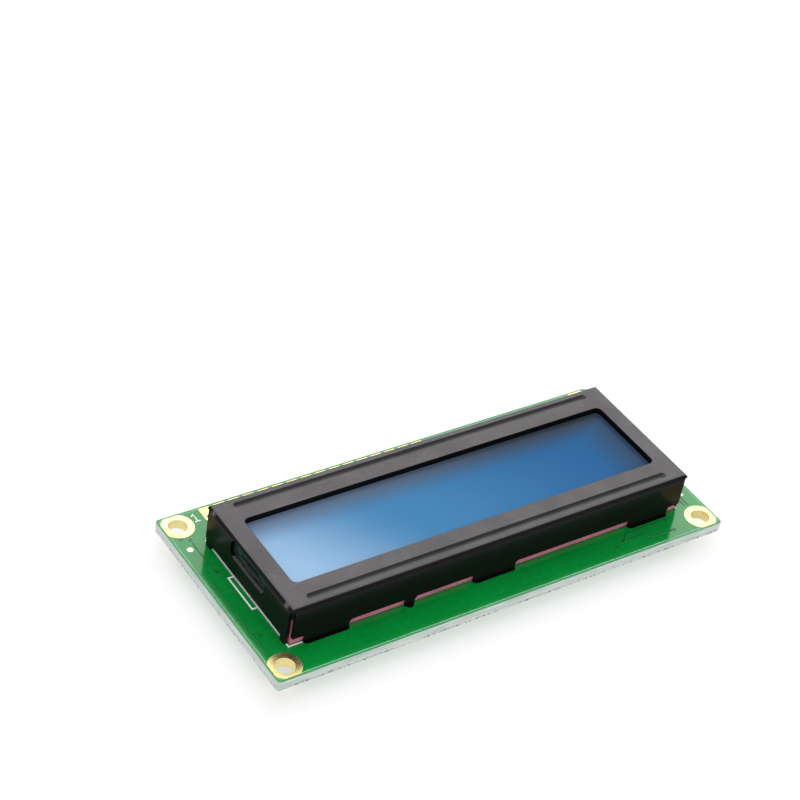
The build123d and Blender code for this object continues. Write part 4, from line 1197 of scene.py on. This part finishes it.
class DISPLAYMODULE_OT_stage(bpy.types.Operator):
    """Set the pale floor, the soft lights and the camera"""

    bl_idname = "displaymodule.stage"
    bl_label = "Stage"

    def execute(self, context):
        stage = context.scene.module_stage
        self.lay_floor(context, stage)
        self.light_scene(context, stage)
        camera = bpy.data.objects.new("camera", bpy.data.cameras.new("camera"))
        context.scene.collection.objects.link(camera)
        camera.data.sensor_width = CAMERA_SENSOR
        camera.data.lens = CAMERA_LENS
        camera.data.clip_start = 0.01
        camera.location = CAMERA_PLACE
        camera.rotation_mode = "QUATERNION"
        camera.rotation_quaternion = Quaternion(CAMERA_TURN)
        context.scene.camera = camera
        context.scene.view_settings.view_transform = "Standard"
        return {"FINISHED"}

    def lay_floor(self, context, stage):
        """Lay the floor under the lowest tab tips: pale, lit and shadowed, clear when seen from below."""
        deselect_all()
        bpy.ops.mesh.primitive_plane_add(size=stage.floor_size, location=(0.0, 0.0, CAD_BOX[0].z))
        floor = context.view_layer.objects.active
        apply_place(floor)
        floor.name = "floor"
        paper = bpy.data.materials.new("pale_paper")
        paper.use_nodes = True
        tree = paper.node_tree
        shader = tree.nodes["Principled BSDF"]
        shader.inputs["Roughness"].default_value = 0.9
        shader.inputs["Base Color"].default_value = (*stage.floor_colour, 1.0)
        glow = add_node(tree, "ShaderNodeEmission", {"Color": WHITE, "Strength": 1.0}).outputs[0]
        soft_glow = add_node(tree, "ShaderNodeEmission", {"Color": WHITE, "Strength": 0.7}).outputs[0]
        clear = tree.nodes.new("ShaderNodeBsdfTransparent").outputs[0]
        rays = tree.nodes.new("ShaderNodeLightPath").outputs
        side = tree.nodes.new("ShaderNodeNewGeometry").outputs
        seen = add_shader_mix(tree, 0.6, shader.outputs[0], glow)
        mirrored = add_math(tree, "MAXIMUM", rays["Is Glossy Ray"], rays["Is Transmission Ray"])
        hidden = add_shader_mix(tree, mirrored, soft_glow, glow)
        lit = add_shader_mix(tree, rays["Is Camera Ray"], hidden, seen)
        through = add_shader_mix(tree, side["Backfacing"], lit, clear)
        tree.links.new(through, tree.nodes["Material Output"].inputs["Surface"])
        floor.data.materials.append(paper)

    def light_scene(self, context, stage):
        """Set a softbox behind the module, a weaker one above it and an even surround."""
        for name, place, size, power in (
            ("key_softbox", Vector((0.29, 0.32, 0.37)), 0.45, stage.key_power),
            ("top_softbox", Vector((-0.10, -0.05, 0.60)), 0.50, stage.top_power),
        ):
            light = bpy.data.lights.new(name, "AREA")
            light.shape = "SQUARE"
            light.size = size
            light.energy = power
            lamp = bpy.data.objects.new(name, light)
            context.scene.collection.objects.link(lamp)
            lamp.location = place
            lamp.rotation_mode = "QUATERNION"
            lamp.rotation_quaternion = place.to_track_quat("Z", "Y")
            lamp.visible_camera = False
        world = bpy.data.worlds.new("even_surround")
        context.scene.world = world
        world.use_nodes = True
        tree = world.node_tree
        surround = tree.nodes["Background"]
        surround.inputs["Color"].default_value = WHITE
        surround.inputs["Strength"].default_value = stage.world_strength
        backdrop = add_node(tree, "ShaderNodeBackground", {"Color": WHITE, "Strength": 1.0})
        rays = tree.nodes.new("ShaderNodeLightPath").outputs
        shown = add_math(tree, "MAXIMUM", rays["Is Camera Ray"], rays["Is Glossy Ray"])
        shown = add_math(tree, "MAXIMUM", shown, rays["Is Transmission Ray"])
        mixed = add_shader_mix(tree, shown, surround.outputs[0], backdrop.outputs[0])
        tree.links.new(mixed, tree.nodes["World Output"].inputs["Surface"])


class DISPLAYMODULE_PT_panel(bpy.types.Panel):
    """List the module's steps and settings in the sidebar"""

    bl_idname = "DISPLAYMODULE_PT_panel"
    bl_label = "Display Module"
    bl_space_type = "VIEW_3D"
    bl_region_type = "UI"
    bl_category = "Display Module"

    def draw(self, context):
        column = self.layout.column()
        for step in STEPS:
            column.operator(step.bl_idname)
        for settings, group in (
            (context.scene.module_sizes, ModuleSizes),
            (context.scene.module_colours, ModuleColours),
            (context.scene.module_stage, StageSettings),
        ):
            box = self.layout.box()
            for key in group.__annotations__:
                box.prop(settings, key)


GROUPS = (ModuleSizes, ModuleColours, StageSettings)
STEPS = (
    DISPLAYMODULE_OT_board,
    DISPLAYMODULE_OT_tracks,
    DISPLAYMODULE_OT_edge_lines,
    DISPLAYMODULE_OT_vias,
    DISPLAYMODULE_OT_numbers,
    DISPLAYMODULE_OT_bezel,
    DISPLAYMODULE_OT_display,
    DISPLAYMODULE_OT_backlight,
    DISPLAYMODULE_OT_resistors,
    DISPLAYMODULE_OT_solder,
    DISPLAYMODULE_OT_drops,
    DISPLAYMODULE_OT_stage,
)


def register():
    """Register the settings, the operators and the panel."""
    for kind in (*GROUPS, *STEPS, DISPLAYMODULE_PT_panel):
        bpy.utils.register_class(kind)
    bpy.types.Scene.module_sizes = bpy.props.PointerProperty(type=ModuleSizes)
    bpy.types.Scene.module_colours = bpy.props.PointerProperty(type=ModuleColours)
    bpy.types.Scene.module_stage = bpy.props.PointerProperty(type=StageSettings)


def unregister():
    """Remove what register added."""
    for name in ("module_sizes", "module_colours", "module_stage"):
        delattr(bpy.types.Scene, name)
    for kind in reversed((*GROUPS, *STEPS, DISPLAYMODULE_PT_panel)):
        bpy.utils.unregister_class(kind)


def main():
    """Build every piece in order."""
    register()
    bpy.ops.displaymodule.board()
    bpy.ops.displaymodule.tracks()
    bpy.ops.displaymodule.edge_lines()
    bpy.ops.displaymodule.vias()
    bpy.ops.displaymodule.numbers()
    bpy.ops.displaymodule.bezel()
    bpy.ops.displaymodule.display()
    bpy.ops.displaymodule.backlight()
    bpy.ops.displaymodule.resistors()
    bpy.ops.displaymodule.solder()
    bpy.ops.displaymodule.drops()
    bpy.ops.displaymodule.stage()
    deselect_all()


if __name__ == "__main__":
    main()
